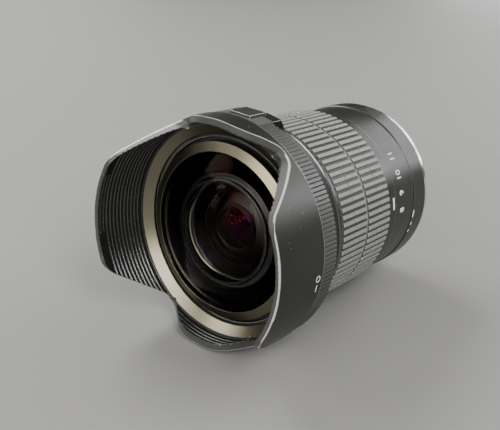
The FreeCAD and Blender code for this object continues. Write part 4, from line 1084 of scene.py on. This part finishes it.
def wrap_print(name, flat, radius, degrees, station, body, slot):
    """Lay a flat mesh on a ring of the lens and give it paint's thickness."""
    outside = radius + PAINT_LIFT
    for vertex in flat.vertices:
        turn = math.radians(degrees) + vertex.co.x / outside
        along = station - vertex.co.y
        vertex.co = Vector((outside * math.cos(turn), along, outside * math.sin(turn)))
    face_outward(flat)
    flat.materials.clear()
    flat.materials.append(print_white)
    mark = bpy.data.objects.new(name, flat)
    bpy.context.collection.objects.link(mark)
    thick = mark.modifiers.new("paint", "SOLIDIFY")
    thick.thickness = PAINT
    thick.offset = 0
    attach(mark, body)


print("made", print_white.name)

# %% [markdown]
# ## Flat numbers
# The zoom scale's numbers are plain printed figures. Their outlines could be drawn point by
# point, but a text object has them ready. It is turned into a mesh, because only a mesh's
# points can be wrapped on a ring.

# %% Flat numbers
def flat_text(words, height):
    """The outline of some characters as a flat mesh, centred on the origin."""
    curve = bpy.data.curves.new("characters", "FONT")
    curve.body = words
    curve.size = height
    curve.align_x = "CENTER"
    curve.align_y = "CENTER"
    curve.fill_mode = "FRONT"
    curve.offset = height * 0.02
    maker = bpy.data.objects.new("characters", curve)
    bpy.context.collection.objects.link(maker)
    bpy.context.view_layer.update()
    ready = maker.evaluated_get(bpy.context.evaluated_depsgraph_get())
    mesh = bpy.data.meshes.new_from_object(ready)
    bpy.data.objects.remove(maker)
    return mesh


print("flat numbers ready")

# %% [markdown]
# ## Flat bars and circles
# The other marks are bars and one circle. A bar could be one face, but that would stay
# straight across the curve of its ring, so it is cut into short steps. The circle is a
# narrow band that is cut into steps too.

# %% Flat bars and circles
BAR_STEPS = 12
CIRCLE_STEPS = 32


def flat_bar(width, height):
    points = []
    for step in range(BAR_STEPS + 1):
        across = width * (step / BAR_STEPS - 0.5)
        points += [(across, -height / 2, 0), (across, height / 2, 0)]
    faces = [(2 * i, 2 * i + 2, 2 * i + 3, 2 * i + 1) for i in range(BAR_STEPS)]
    mesh = bpy.data.meshes.new("bar")
    mesh.from_pydata(points, [], faces)
    return mesh


def flat_circle(radius, line):
    points = []
    for step in range(CIRCLE_STEPS):
        angle = 2 * math.pi * step / CIRCLE_STEPS
        way = Vector((math.cos(angle), math.sin(angle), 0))
        points += [way * (radius - line / 2), way * (radius + line / 2)]
    count = 2 * CIRCLE_STEPS
    faces = [(i, i + 1, (i + 3) % count, (i + 2) % count) for i in range(0, count, 2)]
    mesh = bpy.data.meshes.new("circle")
    mesh.from_pydata(points, [], faces)
    return mesh


print("flat bars and circles ready")

# %% [markdown]
# ## Marks on the barrel
# The index ring has a thick index bar, the scale barrel the zoom scale's numbers, and the
# rear cover a row of short marks. Their places could be dragged by eye, but an angle and a
# station say them exactly. Angles run round the axis from the lens's right side upwards,
# and stations run back from the plane of the front glass's edge.

# %% Barrel marks
INDEX_STATION = glass_plane + 59.6 * MM
SCALE_STATION = glass_plane + 67.0 * MM
COVER_STATION = glass_plane + 76.2 * MM
NUMBER_HEIGHT = 4.2 * MM
COVER_LINE = 0.8 * MM
ZOOM_NUMBERS = (("8", 3.0), ("9", 14.5), ("10", 26.0), ("11", 39.0))
COVER_MARKS = ((-3.3, 3.0), (-10.3, 1.2), (-16.1, 1.2))
METAL = ("barrel", "black_metal")

index_bar = flat_bar(4.6 * MM, 1.1 * MM)
wrap_print("index_bar", index_bar, index_radius, 9.8, INDEX_STATION, *METAL)
for words, degrees in ZOOM_NUMBERS:
    number = flat_text(words, NUMBER_HEIGHT)
    wrap_print(f"zoom_number_{words}", number, scale_radius, degrees, SCALE_STATION, *METAL)
for index, (degrees, length) in enumerate(COVER_MARKS, start=1):
    bar = flat_bar(length * MM, COVER_LINE)
    wrap_print(f"cover_mark_{index}", bar, cover_radius, degrees, COVER_STATION, *METAL)
print("barrel marks printed:", 1 + len(ZOOM_NUMBERS) + len(COVER_MARKS))

# %% [markdown]
# ## Marks on the hood
# The hood has the usual pair of marks that show where it locks: a dash and a small circle.
# They could be moulded with the shell, but paint shows better on black. They ride on the
# hood, so they turn with it.

# %% Hood marks
MARK_STATION = glass_plane + 0.4 * MM
HOOD_RADIUS = 41.3 * MM
PLASTIC = ("hood", "hood_plastic")

circle = flat_circle(1.0 * MM, 0.32 * MM)
dash = flat_bar(2.4 * MM, 0.4 * MM)
wrap_print("hood_circle", circle, HOOD_RADIUS, -5.0, MARK_STATION, *PLASTIC)
wrap_print("hood_dash", dash, HOOD_RADIUS, -9.8, MARK_STATION, *PLASTIC)
print("hood marks printed")

# %% [markdown]
# ## Finish

# %% Finish
print("script finished")
